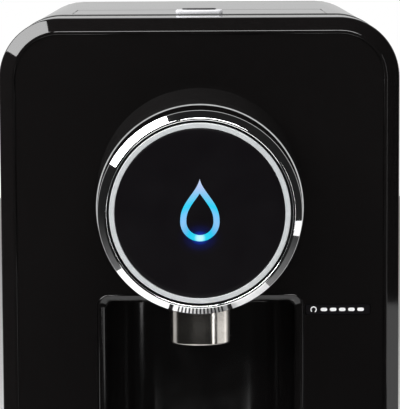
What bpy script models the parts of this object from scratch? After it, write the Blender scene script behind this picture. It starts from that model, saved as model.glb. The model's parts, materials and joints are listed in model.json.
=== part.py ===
"""Countertop soda carbonator: a water tank, a pump, a gas cylinder and a pressure vessel behind a
gloss front, with a round push head over an alcove and a drip tray.

Units are metres. +Z is up, the front faces -Y, and the origin is on the table under the middle of
the machine's outline. Each sub-part is one object; pieces that move hang from an empty on their axis.
"""

import math

import bmesh
import bpy
import numpy as np
from mathutils import Matrix, Vector

# ---------------------------------------------------------------- driving dimensions
GAP = 0.0003          # between pieces that touch
SLIDE_GAP = 0.0005    # between pieces that slide

BODY_W = 0.200
BODY_D = 0.280
BODY_H = 0.420        # table to the top face
BASE_REACH = 0.108    # how far the drip base stands in front of the panel
FOOT_H = 0.004
CORNER_R = 0.030      # top edges of the body, seen from the front
BOTTOM_R = 0.016
SHELL_T = 0.003
BACK_T = 0.004
PANEL_T = 0.003

FRAME_D = 0.012       # front frame, front to back
FRAME_CHAMFER = 0.0065
FRAME_CHAMFER_DEPTH = 0.005
FRAME_RIM = 0.0081    # outer edge to the panel's seat
FRAME_LEDGE = 0.012   # outer edge to the inside of the ledge behind the panel
FRAME_TONGUE = 0.004

HEAD_DROP = 0.086     # top face down to the head's axis
NECK_LEN = 0.0767
NECK_BASE_R = 0.0513
NECK_END_R = 0.0487
NECK_WALL = 0.003
RING_LEN = 0.0216     # chrome ring, from the neck to its outer front edge
RING_FRONT_R = 0.0473
RING_CHAMFER = 0.0036
RING_LIP_OUT_R = 0.0440
RING_LIP_R = 0.0429
RING_LIP_LEN = 0.0072
RING_WALL = 0.0030
TRIM_R = 0.0418       # silver trim around the push face
FACE_R = 0.0391
FACE_T = 0.0030
BUTTON_TRAVEL = 0.003
STEM_R = 0.0045
SWITCH_SIDE = 0.0080
SPRING_R = 0.0100
SPRING_WIRE_R = 0.0005
SPRING_TURNS = 5

DROP_W = 0.0181
DROP_H = 0.0288
DROP_LINE = 0.0028
DROP_DEPTH = 0.0012
DROP_CENTRE_UP = 0.0015

NOZZLE_OUT = 0.050    # panel to the nozzle's axis
NOZZLE_R = 0.0147
NOZZLE_WALL = 0.0016
NOZZLE_DROP = 0.0678  # head axis down to the nozzle's mouth
OUTLET_HOLE_R = 0.0035
OUTLET_WALL = 0.0040   # wall of the block round the sleeve

ALCOVE_W = 0.103
ALCOVE_TOP_DROP = 0.1386
ALCOVE_DEPTH = 0.050
ALCOVE_LIP = 0.0045
ALCOVE_CORNER = 0.0055
ALCOVE_BACK_W = 0.039
ALCOVE_WALL = 0.0025
ALCOVE_FLOOR_UP = 0.002   # above the drip base

KEY_X = 0.069
KEY_W = 0.032
KEY_H = 0.005
KEY_DROP = 0.1465
KEY_TRAVEL = 0.0015
KEY_T = 0.006

BASE_W = 0.184
BASE_H = 0.024
BASE_WALL = 0.0097
BASE_FLOOR = 0.004
FASCIA_T = 0.004
FASCIA_R = 0.020
TRAY_WALL = 0.003
TRAY_LEDGE = 0.0025
GRILLE_T = 0.0025
SLOT_W = 0.0052
SLOT_PITCH = 0.0104

LID_W = 0.132
LID_FRONT = 0.0585    # front of the body to the lid's front edge
LID_BACK = 0.1250     # front of the body to the lid's rounded back edge
LID_T = 0.004
PIN_R = 0.0009
PIN_LEN = 0.010
TAB_W = 0.0245
TAB_D = 0.012
TAB_H = 0.0027
TAB_SEAT = 0.0006
TAB_SET_BACK = 0.0020
TAB_SLOT_W = 0.0176
TAB_SLOT_D = 0.0022

TANK_W = 0.176
TANK_D = 0.162
TANK_FRONT = 0.018     # front of the body to the tank
TANK_H = 0.108
TANK_WALL = 0.0025
TANK_RIM = 0.004
SHELF_T = 0.003

CYL_R = 0.030
CYL_X = 0.053
CYL_FROM_REAR = 0.046
CYL_HEADROOM = 0.090  # top of the cylinder to the top face
DOOR_W = 0.064
DOOR_T = 0.003
DOOR_LOW = 0.030
DOOR_HEADROOM = 0.030 # top of the door to the top face
DOOR_EDGE_X = 0.085

VESSEL_R = 0.040
VESSEL_HEADROOM = 0.084   # top of the vessel to the shelf above it
VESSEL_X = -0.034
VESSEL_Y = 0.044
PUMP_R = 0.021
PUMP_X = 0.052
PUMP_Y = 0.020
MOTOR_H = 0.075
HOSE_R = 0.003

FOOT_R = 0.010
FOOT_INSET = 0.024
SCREW_HEAD_R = 0.0032
SCREW_HEAD_H = 0.0018
SCREW_R = 0.0014
SCREW_LEN = 0.012
INLET_X = -0.070
INLET_Z = 0.030
INLET_W = 0.030
INLET_H = 0.022

ROUND = 56            # sides of a large turned piece
SMALL_ROUND = 20      # sides of a small one
ARC = 8               # steps round a quarter circle

# ---------------------------------------------------------------- places that follow
HALF_W = BODY_W / 2
FRONT_Y = -(BODY_D - BASE_REACH) / 2
REAR_Y = FRONT_Y + BODY_D
BASE_Y = FRONT_Y - BASE_REACH
AXIS_Z = BODY_H - HEAD_DROP
SHELL_Y = FRONT_Y + FRAME_D + GAP
BACK_Y = REAR_Y - BACK_T
PAN_TOP = FOOT_H + BOTTOM_R
PANEL_Y = FRONT_Y + GAP
PANEL_BACK = PANEL_Y + PANEL_T
RING_BACK = NECK_LEN + GAP
RING_EDGE = RING_BACK + RING_LEN
FACE_FRONT = RING_EDGE + RING_CHAMFER
LIP_BACK = FACE_FRONT - RING_LIP_LEN
NOZZLE_Y = FRONT_Y - NOZZLE_OUT
NOZZLE_Z = AXIS_Z - NOZZLE_DROP
ALCOVE_TOP = BODY_H - ALCOVE_TOP_DROP
BASE_TOP = FOOT_H + BASE_H
ALCOVE_FLOOR = BASE_TOP + ALCOVE_FLOOR_UP
KEY_Z = BODY_H - KEY_DROP
LID_FRONT_Y = FRONT_Y + LID_FRONT
LID_BACK_Y = FRONT_Y + LID_BACK
LID_AXIS = Vector((0.0, LID_BACK_Y - LID_T / 2, BODY_H - LID_T / 2))
RIM_Z = BODY_H - LID_T - GAP
TANK_Z = BODY_H - 0.016 - TANK_H
TANK_Y = FRONT_Y + TANK_FRONT
SHELF_Z = TANK_Z - GAP - SHELF_T
WEB_Y = TANK_Y + TANK_D + 0.002
CYL_Y = REAR_Y - CYL_FROM_REAR
CYL_Z = FOOT_H + SHELL_T + GAP
CYL_H = BODY_H - CYL_HEADROOM
DOOR_H = BODY_H - DOOR_HEADROOM - DOOR_LOW
VESSEL_Z = FOOT_H + SHELL_T + 0.012
VESSEL_H = SHELF_Z - VESSEL_HEADROOM - VESSEL_Z
DOOR_BARREL_R = 0.0022
DOOR_AXIS = Vector((DOOR_EDGE_X, REAR_Y - DOOR_BARREL_R - 0.0002, DOOR_LOW))
FORWARD = Vector((0, -1, 0))
UP = Vector((0, 0, 1))
SIDE = Vector((1, 0, 0))


# ---------------------------------------------------------------- modelling helpers
def finish(name, colour, roughness, metallic=0.0):
    """A Principled material."""
    made = bpy.data.materials.new(name)
    made.use_nodes = True
    shader = made.node_tree.nodes["Principled BSDF"]
    shader.inputs["Base Color"].default_value = (*colour, 1)
    shader.inputs["Roughness"].default_value = roughness
    shader.inputs["Metallic"].default_value = metallic
    return made


def solid(name, vertices, faces, material=None):
    """An object from a closed mesh, with its faces turned outwards."""
    mesh = bpy.data.meshes.new(name)
    shape = bmesh.new()
    corners = [shape.verts.new(v) for v in vertices]
    for face in faces:
        shape.faces.new([corners[i] for i in face])
    bmesh.ops.recalc_face_normals(shape, faces=shape.faces)
    shape.to_mesh(mesh)
    shape.free()
    made = bpy.data.objects.new(name, mesh)
    bpy.context.collection.objects.link(made)
    if material:
        mesh.materials.append(material)
        mesh.shade_smooth()
        mesh.set_sharp_from_angle(angle=math.radians(35))
    return made


def loft(name, rings, material=None, closed=False):
    """Skin over rings with the same number of points: capped at both ends, or closed on itself."""
    count = len(rings[0])
    vertices = [point for ring in rings for point in ring]
    faces = []
    for k in range(len(rings) if closed else len(rings) - 1):
        a, b = k * count, (k + 1) % len(rings) * count
        for i in range(count):
            j = (i + 1) % count
            faces.append((a + i, a + j, b + j, b + i))
    if not closed:
        faces.append(tuple(range(count)))
        faces.append(tuple((len(rings) - 1) * count + i for i in range(count)))
    return solid(name, vertices, faces, material)


def prism(name, outline, low, high, axis, material=None):
    """An outline pushed along X, Y or Z; its points are the other two coordinates in order."""
    rings = []
    for at in (low, high):
        ring = [list(point) for point in outline]
        for point in ring:
            point.insert("XYZ".index(axis), at)
        rings.append(ring)
    return loft(name, rings, material)


def box(name, x, y, z, material=None):
    """A block between (low, high) on each axis."""
    outline = [(x[0], y[0]), (x[1], y[0]), (x[1], y[1]), (x[0], y[1])]
    return prism(name, outline, z[0], z[1], "Z", material)


def arc(centre, radius, start, end, steps=ARC):
    """Points on a circle from one angle to another, in degrees."""
    angles = np.radians(np.linspace(start, end, steps + 1))
    return [(centre[0] + radius * math.cos(a), centre[1] + radius * math.sin(a)) for a in angles]


def rounded(width, height, radius, centre=(0.0, 0.0), steps=ARC):
    """A rectangle with round corners."""
    across, up = width / 2 - radius, height / 2 - radius
    points = []
    for quarter, (sx, sy) in enumerate(((1, 1), (-1, 1), (-1, -1), (1, -1))):
        middle = (centre[0] + sx * across, centre[1] + sy * up)
        points += arc(middle, radius, 90 * quarter, 90 * quarter + 90, steps)
    return points


def turned(name, profile, centre, direction, material=None, sides=ROUND):
    """A profile of (radius, distance along direction) turned about that direction.

    A profile that starts and ends on the axis makes a solid; any other is closed on itself.
    """
    direction = Vector(direction)
    across = Vector((0, 0, 1)) if abs(direction.z) < 0.5 else Vector((1, 0, 0))
    other = direction.cross(across)
    centre = Vector(centre)
    on_axis = profile[0][0] == 0
    rows = profile[1:-1] if on_axis else profile
    rings = []
    for radius, along in rows:
        ring = []
        for k in range(sides):
            turn = 2 * math.pi * k / sides
            offset = across * math.cos(turn) + other * math.sin(turn)
            ring.append(centre + direction * along + offset * radius)
        rings.append(ring)
    if not on_axis:
        return loft(name, rings, material, closed=True)
    return loft(name, rings, material)


def rod(name, centre, direction, radius, low, high, material=None, sides=SMALL_ROUND):
    """A plain cylinder."""
    profile = [(0, low), (radius, low), (radius, high), (0, high)]
    return turned(name, profile, centre, direction, material, sides)


def pipe(name, centre, direction, outer, inner, low, high, material=None, sides=SMALL_ROUND):
    """A cylinder with a bore right through."""
    profile = [(inner, low), (outer, low), (outer, high), (inner, high)]
    return turned(name, profile, centre, direction, material, sides)


def combine(target, tool, operation):
    """One Boolean step; the tool stays as a hidden guide."""
    step = target.modifiers.new(f"{operation.title()} {tool.name}", "BOOLEAN")
    step.operation = operation
    step.object = tool
    step.solver = "EXACT"
    tool.hide_render = True
    tool.display_type = "WIRE"
    tool.parent = target


def cut(target, *tools):
    for tool in tools:
        combine(target, tool, "DIFFERENCE")


def join(target, *tools):
    for tool in tools:
        combine(target, tool, "UNION")


def smooth_route(points, steps=5):
    """Catmull-Rom points through a hose's own corners."""
    ends = [2 * Vector(points[0]) - Vector(points[1])]
    ends += [Vector(p) for p in points]
    ends += [2 * Vector(points[-1]) - Vector(points[-2])]
    route = []
    for a, b, c, d in zip(ends, ends[1:], ends[2:], ends[3:]):
        for k in range(steps):
            t = k / steps
            linear = (c - a) * t
            square = (2 * a - 5 * b + 4 * c - d) * t * t
            cube = (3 * b - a - 3 * c + d) * t ** 3
            route.append(b + (linear + square + cube) / 2)
    return route + [Vector(points[-1])]


def hose(name, points, material, radius=HOSE_R):
    """A hose along a smooth route, as a bevelled curve with filled ends."""
    curve = bpy.data.curves.new(name, "CURVE")
    curve.dimensions = "3D"
    curve.bevel_depth = radius
    curve.bevel_resolution = 2
    curve.use_fill_caps = True
    route = smooth_route(points)
    line = curve.splines.new("POLY")
    line.points.add(len(route) - 1)
    for point, place in zip(line.points, route):
        point.co = (*place, 1)
    curve.materials.append(material)
    made = bpy.data.objects.new(name, curve)
    bpy.context.collection.objects.link(made)
    return made


def coil(name, centre, direction, radius, wire, low, high, turns, material):
    """A compression spring with its ends closed by flat wire."""
    direction = Vector(direction)
    across = Vector((0, 0, 1))
    other = direction.cross(across)
    steps = turns * 12
    rings = []
    for k in range(steps + 1):
        turn = 2 * math.pi * turns * k / steps
        out = across * math.cos(turn) + other * math.sin(turn)
        along = low + wire + (high - low - 2 * wire) * k / steps
        middle = Vector(centre) + direction * along + out * radius
        ring = []
        for side in range(6):
            angle = 2 * math.pi * side / 6
            ring.append(middle + out * wire * math.cos(angle) + direction * wire * math.sin(angle))
        rings.append(ring)
    return loft(name, rings, material)


def axis_empty(name, place):
    """The empty that a moving body's pieces hang from, on the joint's axis."""
    made = bpy.data.objects.new(name, None)
    made.location = place
    bpy.context.collection.objects.link(made)
    return made


def hang(empty, *pieces):
    """Parents pieces to an empty and leaves them where they are."""
    for piece in pieces:
        piece.parent = empty
        piece.matrix_parent_inverse = Matrix.Translation(-Vector(empty.location))


# ---------------------------------------------------------------- outlines
def body_outline(inset):
    """(x, z) points round the body as seen from the front, stepped in by inset."""
    top, bottom = CORNER_R - inset, BOTTOM_R - inset
    high, low = BODY_H - CORNER_R, FOOT_H + BOTTOM_R
    points = arc((HALF_W - CORNER_R, high), top, 0, 90, ARC + 2)
    points += arc((CORNER_R - HALF_W, high), top, 90, 180, ARC + 2)
    points += arc((BOTTOM_R - HALF_W, low), bottom, 180, 270, 4)
    points += arc((HALF_W - BOTTOM_R, low), bottom, 270, 360, 4)
    return points


def at_depth(outline, y):
    return [(x, y, z) for x, z in outline]


def alcove_plan(grow):
    """(x, y) points of the alcove's inside seen from above, grown outwards by grow."""
    half, flat = ALCOVE_W / 2 - ALCOVE_LIP, ALCOVE_BACK_W / 2
    radius = half - flat
    back = PANEL_Y + ALCOVE_DEPTH
    right = arc((flat, back - radius), radius + grow, 0, 90)
    left = arc((-flat, back - radius), radius + grow, 90, 180)
    front = PANEL_Y + ALCOVE_LIP
    return [(half + grow, front)] + right + left + [(-half - grow, front)]


def mouth_outline(inset):
    """(x, z) points of the alcove's mouth: round at the top, square at the floor."""
    half, radius = ALCOVE_W / 2 - inset, max(ALCOVE_CORNER - inset, 0.001)
    top = ALCOVE_TOP - inset
    points = arc((half - radius, top - radius), radius, 0, 90, 4)
    points += arc((radius - half, top - radius), radius, 90, 180, 4)
    return points + [(-half, ALCOVE_FLOOR), (half, ALCOVE_FLOOR)]


def drop_outline(step_in, steps=7):
    """(x, z) points of a water drop: a round foot whose flanks sweep up to a point.

    The flank is mostly a cosine sweep from the foot's widest point to the tip, with some of a
    parabola so that the tip stays stout; step_in moves every point inwards along its normal.
    """
    radius = DROP_W / 2
    rise = DROP_H - radius
    half = arc((0.0, 0.0), radius, -90, 0, steps)
    for k in range(1, steps + 1):
        t = k / steps
        sweep = 0.5 + 0.5 * math.cos(math.pi * t ** 1.2)
        width = radius * (0.78 * sweep + 0.22 * (1 - t * t))
        half.append((width, rise * t))
    moved = []
    for k, (x, z) in enumerate(half):
        before = half[max(k - 1, 0)]
        after = half[min(k + 1, len(half) - 1)]
        run = Vector((after[0] - before[0], after[1] - before[1])).normalized()
        moved.append((x - run.y * step_in, z + run.x * step_in))
    moved[0] = (0.0, -radius + step_in)
    tip = (0.0, rise - 2.3 * step_in)
    right = [p for p in moved[1:-1] if p[0] > 0.0004 and p[1] < tip[1] - 0.0004]
    left = [(-x, z) for x, z in reversed(right)]
    lift = AXIS_Z + DROP_CENTRE_UP - (DROP_H / 2 - radius)
    return [(x, z + lift) for x, z in [moved[0]] + right + [tip] + left]


# ---------------------------------------------------------------- housing
def make_housing(black, dark):
    """Frame, panel, shell, base pan, back panel and feet."""
    inner = FRAME_RIM
    seat = PANEL_BACK + GAP
    ledge_back = seat + PANEL_T
    tongue = SHELL_T + GAP
    outer_back = FRONT_Y + FRAME_D
    section = [(0, outer_back), (0, FRONT_Y + FRAME_CHAMFER_DEPTH), (FRAME_CHAMFER, FRONT_Y),
               (inner, FRONT_Y), (inner, seat), (FRAME_LEDGE, seat), (FRAME_LEDGE, ledge_back),
               (tongue + 0.0025, outer_back + FRAME_TONGUE), (tongue, outer_back + FRAME_TONGUE),
               (tongue, outer_back)]
    loft("front_frame", [at_depth(body_outline(i), y) for i, y in section], black, closed=True)

    panel_edge = body_outline(FRAME_RIM + GAP)
    panel = loft("front_panel", [at_depth(panel_edge, PANEL_Y), at_depth(panel_edge, PANEL_BACK)], black)
    mouth = list(mouth_outline(-GAP))[:-2]
    floor = ALCOVE_FLOOR - ALCOVE_WALL - GAP
    mouth += [(-ALCOVE_W / 2 - GAP, floor), (ALCOVE_W / 2 + GAP, floor)]
    past = (PANEL_Y - 0.01, PANEL_BACK + 0.01)
    key_hole = rounded(KEY_W + 2 * GAP, KEY_H + 2 * GAP, 0.001, (KEY_X, KEY_Z), 3)
    cut(panel, prism("cut_mouth", mouth, *past, "Y"),
        rod("cut_head", (0, FRONT_Y, AXIS_Z), FORWARD, NECK_BASE_R - 0.012, -0.01, 0.01, sides=ROUND),
        prism("cut_key", key_hole, *past, "Y"))

    arch = body_outline(0)[:2 * (ARC + 3)]
    under = body_outline(SHELL_T)[:2 * (ARC + 3)]
    foot = PAN_TOP + GAP
    wrap = [(HALF_W, foot)] + arch + [(-HALF_W, foot), (SHELL_T - HALF_W, foot)]
    wrap += under[::-1] + [(HALF_W - SHELL_T, foot)]
    shell = prism("body_shell", wrap, SHELL_Y, BACK_Y - GAP, "Y", black)
    hole = (LID_FRONT_Y - GAP, LID_BACK_Y + GAP)
    half = LID_W / 2 + GAP
    cut(shell, box("cut_lid", (-half, half), hole, (RIM_Z - 0.02, BODY_H + 0.01)))
    for side in (-1, 1):
        reach = sorted((side * LID_W / 2, side * (LID_W / 2 + PIN_LEN / 2 + GAP)))
        width = (LID_AXIS.y - PIN_R - GAP, LID_AXIS.y + PIN_R + GAP)
        cut(shell, box(f"cut_pin_{side}", reach, width, (RIM_Z - 0.004, LID_AXIS.z + PIN_R + GAP)))

    pan_outer = [(-HALF_W, PAN_TOP)] + body_outline(0)[2 * (ARC + 3):] + [(HALF_W, PAN_TOP)]
    pan_inner = [(SHELL_T - HALF_W, PAN_TOP)] + body_outline(SHELL_T)[2 * (ARC + 3):]
    pan_inner += [(HALF_W - SHELL_T, PAN_TOP)]
    prism("base_pan", pan_outer + pan_inner[::-1], SHELL_Y, BACK_Y - GAP, "Y", dark)

    back_edge = body_outline(0.0)
    back = loft("back_panel", [at_depth(back_edge, BACK_Y), at_depth(back_edge, REAR_Y)], dark)
    door_half = DOOR_BARREL_R + GAP
    opening = (DOOR_EDGE_X - DOOR_W - GAP, DOOR_EDGE_X + door_half)
    cut(back, box("cut_door", opening, (BACK_Y - 0.01, REAR_Y + 0.01),
                  (DOOR_LOW - GAP, DOOR_LOW + DOOR_H + GAP)),
        box("cut_inlet", (INLET_X, INLET_X + INLET_W), (BACK_Y - 0.01, REAR_Y + 0.01),
            (INLET_Z, INLET_Z + INLET_H)))
    for name, z in (("low", DOOR_LOW - PIN_LEN / 2), ("high", DOOR_LOW + DOOR_H - PIN_LEN / 2)):
        cut(back, rod(f"cut_door_pin_{name}", (*DOOR_AXIS.xy, z), UP, PIN_R + GAP, -GAP,
                      PIN_LEN + GAP, sides=12))

    boss_y = BACK_Y - GAP
    boss_x = HALF_W - SHELL_T - 0.0035
    places = [(side * boss_x, z) for side in (-1, 1) for z in (0.018 + PAN_TOP, BODY_H - 0.045)]
    for number, (x, z) in enumerate(places, 1):
        boss = rod(f"boss_{number}", (x, boss_y, z), FORWARD, 0.0045, 0, 0.014, sides=12)
        bore = rod(f"cut_boss_{number}", (x, boss_y, z), FORWARD, SCREW_R + GAP, -0.01, SCREW_LEN, sides=12)
        join(shell, boss)
        cut(shell, bore)
        clear = rod(f"cut_screw_{number}", (x, REAR_Y, z), FORWARD, SCREW_R + GAP, -0.01, 0.02, sides=12)
        sink = rod(f"cut_head_{number}", (x, REAR_Y, z), FORWARD, SCREW_HEAD_R + GAP, -0.01,
                   SCREW_HEAD_H + GAP, sides=16)
        cut(back, clear, sink)
        profile = [(0, 0), (SCREW_HEAD_R, 0), (SCREW_HEAD_R, SCREW_HEAD_H), (SCREW_R, SCREW_HEAD_H),
                   (SCREW_R, SCREW_LEN), (0, SCREW_LEN)]
        turned(f"back_screw_{number}", profile, (x, REAR_Y, z), FORWARD,
               finish(f"screw zinc {number}", (0.6, 0.6, 0.6), 0.35, 1.0), 12)

    number = 0
    for x in (FOOT_INSET - HALF_W, HALF_W - FOOT_INSET):
        for y in (BASE_Y + FOOT_INSET, REAR_Y - FOOT_INSET):
            number += 1
            rod(f"foot_{number}", (x, y, 0), UP, FOOT_R, 0, FOOT_H - GAP,
                finish(f"rubber {number}", (0.03, 0.03, 0.03), 0.8), 24)


def make_alcove(black):
    """The moulded niche behind the panel's mouth, with its rolled lip."""
    outer = [(x, y) for x, y in alcove_plan(ALCOVE_WALL)]
    outer[0] = (outer[0][0], PANEL_BACK + GAP)
    outer[-1] = (outer[-1][0], PANEL_BACK + GAP)
    floor = ALCOVE_FLOOR - ALCOVE_WALL
    liner = prism("alcove_liner", outer, floor, ALCOVE_TOP - ALCOVE_LIP + ALCOVE_WALL, "Z", black)
    nose = mouth_outline(0)[:-2] + [(-ALCOVE_W / 2, floor), (ALCOVE_W / 2, floor)]
    join(liner, prism("alcove_nose", nose, PANEL_Y, PANEL_BACK + 0.004, "Y"))
    steps = 5
    rings = [at_depth(mouth_outline(-0.0), PANEL_Y - 0.01)]
    for k in range(steps + 1):
        turn = math.pi / 2 * k / steps
        inset = ALCOVE_LIP * math.sin(turn)
        depth = ALCOVE_LIP * (1 - math.cos(turn))
        rings.append(at_depth(mouth_outline(inset), PANEL_Y + depth))
    hollow = prism("cut_alcove", alcove_plan(0), ALCOVE_FLOOR, ALCOVE_TOP - ALCOVE_LIP, "Z")
    cut(liner, loft("cut_lip", rings), hollow)


# ---------------------------------------------------------------- head
def make_head(black, chrome, silver, gloss, light, steel, dark):
    """Neck, chrome ring, push button and nozzle, all on the head's axis."""
    centre = (0, FRONT_Y, AXIS_Z)
    inner_end = NECK_END_R - NECK_WALL
    profile = [(NECK_BASE_R, 0.0), (NECK_BASE_R, 0.002), (NECK_END_R + 0.0012, NECK_LEN * 0.45),
               (NECK_END_R, NECK_LEN), (inner_end, NECK_LEN), (inner_end, 0.0)]
    neck = turned("head_neck", profile, centre, FORWARD, black)
    hole = rod("cut_nozzle", (0, NOZZLE_Y, NOZZLE_Z), UP, NOZZLE_R + GAP, 0, NOZZLE_DROP - 0.005, sides=32)
    cut(neck, hole)

    ring_in = NECK_END_R - RING_WALL
    profile = [(NECK_END_R, RING_BACK), (RING_FRONT_R, RING_EDGE - 0.0004),
               (RING_FRONT_R - 0.0004, RING_EDGE),
               (RING_LIP_OUT_R, FACE_FRONT - 0.0003), (RING_LIP_OUT_R - 0.0004, FACE_FRONT),
               (RING_LIP_R, FACE_FRONT), (RING_LIP_R, LIP_BACK), (RING_FRONT_R - 0.002, LIP_BACK),
               (ring_in, RING_BACK)]
    turned("chrome_ring", profile, centre, FORWARD, chrome, 72)

    carrier_front = NECK_LEN - 0.001
    carrier = turned("head_carrier", [(0, carrier_front - 0.003), (inner_end - GAP, carrier_front - 0.003),
                                      (inner_end - GAP, carrier_front), (0, carrier_front)],
                     centre, FORWARD, dark, 40)
    board_front = carrier_front + GAP + 0.0016
    board = pipe("led_board", centre, FORWARD, 0.034, SPRING_R + 0.003, carrier_front + GAP,
                 board_front, finish("green laminate", (0.03, 0.20, 0.08), 0.5), 32)
    for k in range(6):
        turn = 2 * math.pi * k / 6
        x, z = 0.022 * math.sin(turn), AXIS_Z + 0.022 * math.cos(turn)
        low = FRONT_Y - board_front + 0.0002
        join(board, box(f"lamp_{k}", (x - 0.0015, x + 0.0015), (low - 0.0012, low),
                        (z - 0.0015, z + 0.0015)))
    switch_top = carrier_front + GAP + 0.0040
    side = SWITCH_SIDE / 2
    box("push_switch", (-side, side), (FRONT_Y - switch_top, FRONT_Y - carrier_front - GAP),
        (AXIS_Z - side, AXIS_Z + side), finish("switch grey", (0.25, 0.25, 0.27), 0.5))

    face_back = FACE_FRONT - FACE_T
    cup_front = face_back - GAP
    cup_back = LIP_BACK - GAP - 0.0025
    stem_end = switch_top + BUTTON_TRAVEL + GAP
    cup = turned("button_carrier", [(0, stem_end), (STEM_R, stem_end), (STEM_R, cup_back),
                                    (RING_LIP_R + 0.0009, cup_back), (RING_LIP_R + 0.0009, LIP_BACK - GAP),
                                    (TRIM_R, LIP_BACK - GAP), (TRIM_R, cup_front), (0, cup_front)],
                 centre, FORWARD, dark)
    disc = rod("button_face", centre, FORWARD, FACE_R, face_back, FACE_FRONT, gloss, ROUND)
    past = (FRONT_Y - FACE_FRONT - 0.01, FRONT_Y - FACE_FRONT + DROP_DEPTH)
    slack = 0.00012
    groove = prism("cut_drop", drop_outline(-slack), *past, "Y")
    island = prism("keep_drop", drop_outline(DROP_LINE + slack), past[0] - 0.01, past[1] + 0.01, "Y")
    cut(groove, island)
    cut(disc, groove)
    seat = (FRONT_Y - FACE_FRONT, past[1] - slack)
    lens = prism("drop_lens", drop_outline(0), *seat, "Y", light)
    cut(lens, prism("cut_lens", drop_outline(DROP_LINE), seat[0] - 0.01, seat[1] + 0.01, "Y"))
    profile = [(FACE_R + GAP, face_back), (TRIM_R, face_back), (TRIM_R, FACE_FRONT - 0.0004),
               (TRIM_R - 0.0004, FACE_FRONT), (FACE_R + GAP, FACE_FRONT)]
    trim = turned("button_trim", profile, centre, FORWARD, silver)
    coil("button_spring", centre, FORWARD, SPRING_R, SPRING_WIRE_R, carrier_front + GAP,
         cup_back - GAP, SPRING_TURNS, finish("spring steel", (0.55, 0.55, 0.55), 0.3, 1.0))
    axis = axis_empty("button_axis", (0, FRONT_Y - FACE_FRONT, AXIS_Z))
    hang(axis, cup, disc, lens, trim)

    sleeve_top = AXIS_Z - 0.036
    foot = (0, NOZZLE_Y, 0)
    bore = NOZZLE_R - NOZZLE_WALL
    profile = [(bore, NOZZLE_Z + 0.0005), (bore + 0.0005, NOZZLE_Z), (NOZZLE_R - 0.0005, NOZZLE_Z),
               (NOZZLE_R, NOZZLE_Z + 0.0005), (NOZZLE_R, sleeve_top), (bore, sleeve_top)]
    turned("nozzle_sleeve", profile, foot, UP, steel, 40)
    tip = [(OUTLET_HOLE_R, NOZZLE_Z + 0.004), (bore - GAP, NOZZLE_Z + 0.002),
           (bore - GAP, NOZZLE_Z + 0.012), (OUTLET_HOLE_R, NOZZLE_Z + 0.012)]
    turned("nozzle_outlet", tip, foot, UP, dark, 24)
    half = NOZZLE_R + OUTLET_WALL
    block = box("outlet_block", (-half, half), (NOZZLE_Y - half, NOZZLE_Y + half),
                (AXIS_Z - math.sqrt(inner_end ** 2 - half ** 2) + GAP, AXIS_Z - 0.020), dark)
    seal = (sleeve_top + GAP, sleeve_top + GAP + 0.0025)
    cut(block, rod("cut_sleeve", foot, UP, NOZZLE_R + GAP, 0.2, seal[1] + GAP, sides=32))
    pipe("outlet_seal", foot, UP, NOZZLE_R, OUTLET_HOLE_R + 0.002, *seal,
         finish("seal rubber", (0.05, 0.05, 0.05), 0.8), 24)


def make_reset_key(gloss, dark):
    """The slim key beside the head, with its bracket, switch and spring."""
    front = PANEL_Y
    outline = rounded(KEY_W, KEY_H, 0.0008, (KEY_X, KEY_Z), 3)
    key = prism("reset_key", outline, front, front + KEY_T, "Y", gloss)
    flange = (PANEL_BACK + GAP, PANEL_BACK + GAP + 0.0012)
    half_w, half_h = KEY_W / 2 + 0.001, KEY_H / 2 + 0.001
    join(key, box("key_flange", (KEY_X - half_w, KEY_X + half_w), flange,
                  (KEY_Z - half_h, KEY_Z + half_h)))
    bottom = front + KEY_T
    bracket_y = bottom + 0.0064
    switch_front = bottom + KEY_TRAVEL + GAP
    box("reset_switch", (KEY_X - 0.003, KEY_X + 0.003), (switch_front, bracket_y - GAP),
        (KEY_Z - 0.003, KEY_Z + 0.003), finish("key switch grey", (0.25, 0.25, 0.27), 0.5))
    box("reset_board", (KEY_X - 0.015, KEY_X + 0.015), (bracket_y, bracket_y + 0.0016),
        (KEY_Z - 0.010, KEY_Z + 0.012), finish("key board green", (0.03, 0.20, 0.08), 0.5))
    spring_steel = finish("key spring steel", (0.55, 0.55, 0.55), 0.3, 1.0)
    coil("reset_spring", (KEY_X + 0.0095, FRONT_Y, KEY_Z), (0, 1, 0), 0.0020, 0.00025,
         bottom + GAP - FRONT_Y, bracket_y - GAP - FRONT_Y, 4, spring_steel)
    hang(axis_empty("reset_axis", (KEY_X, front, KEY_Z)), key)


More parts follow.
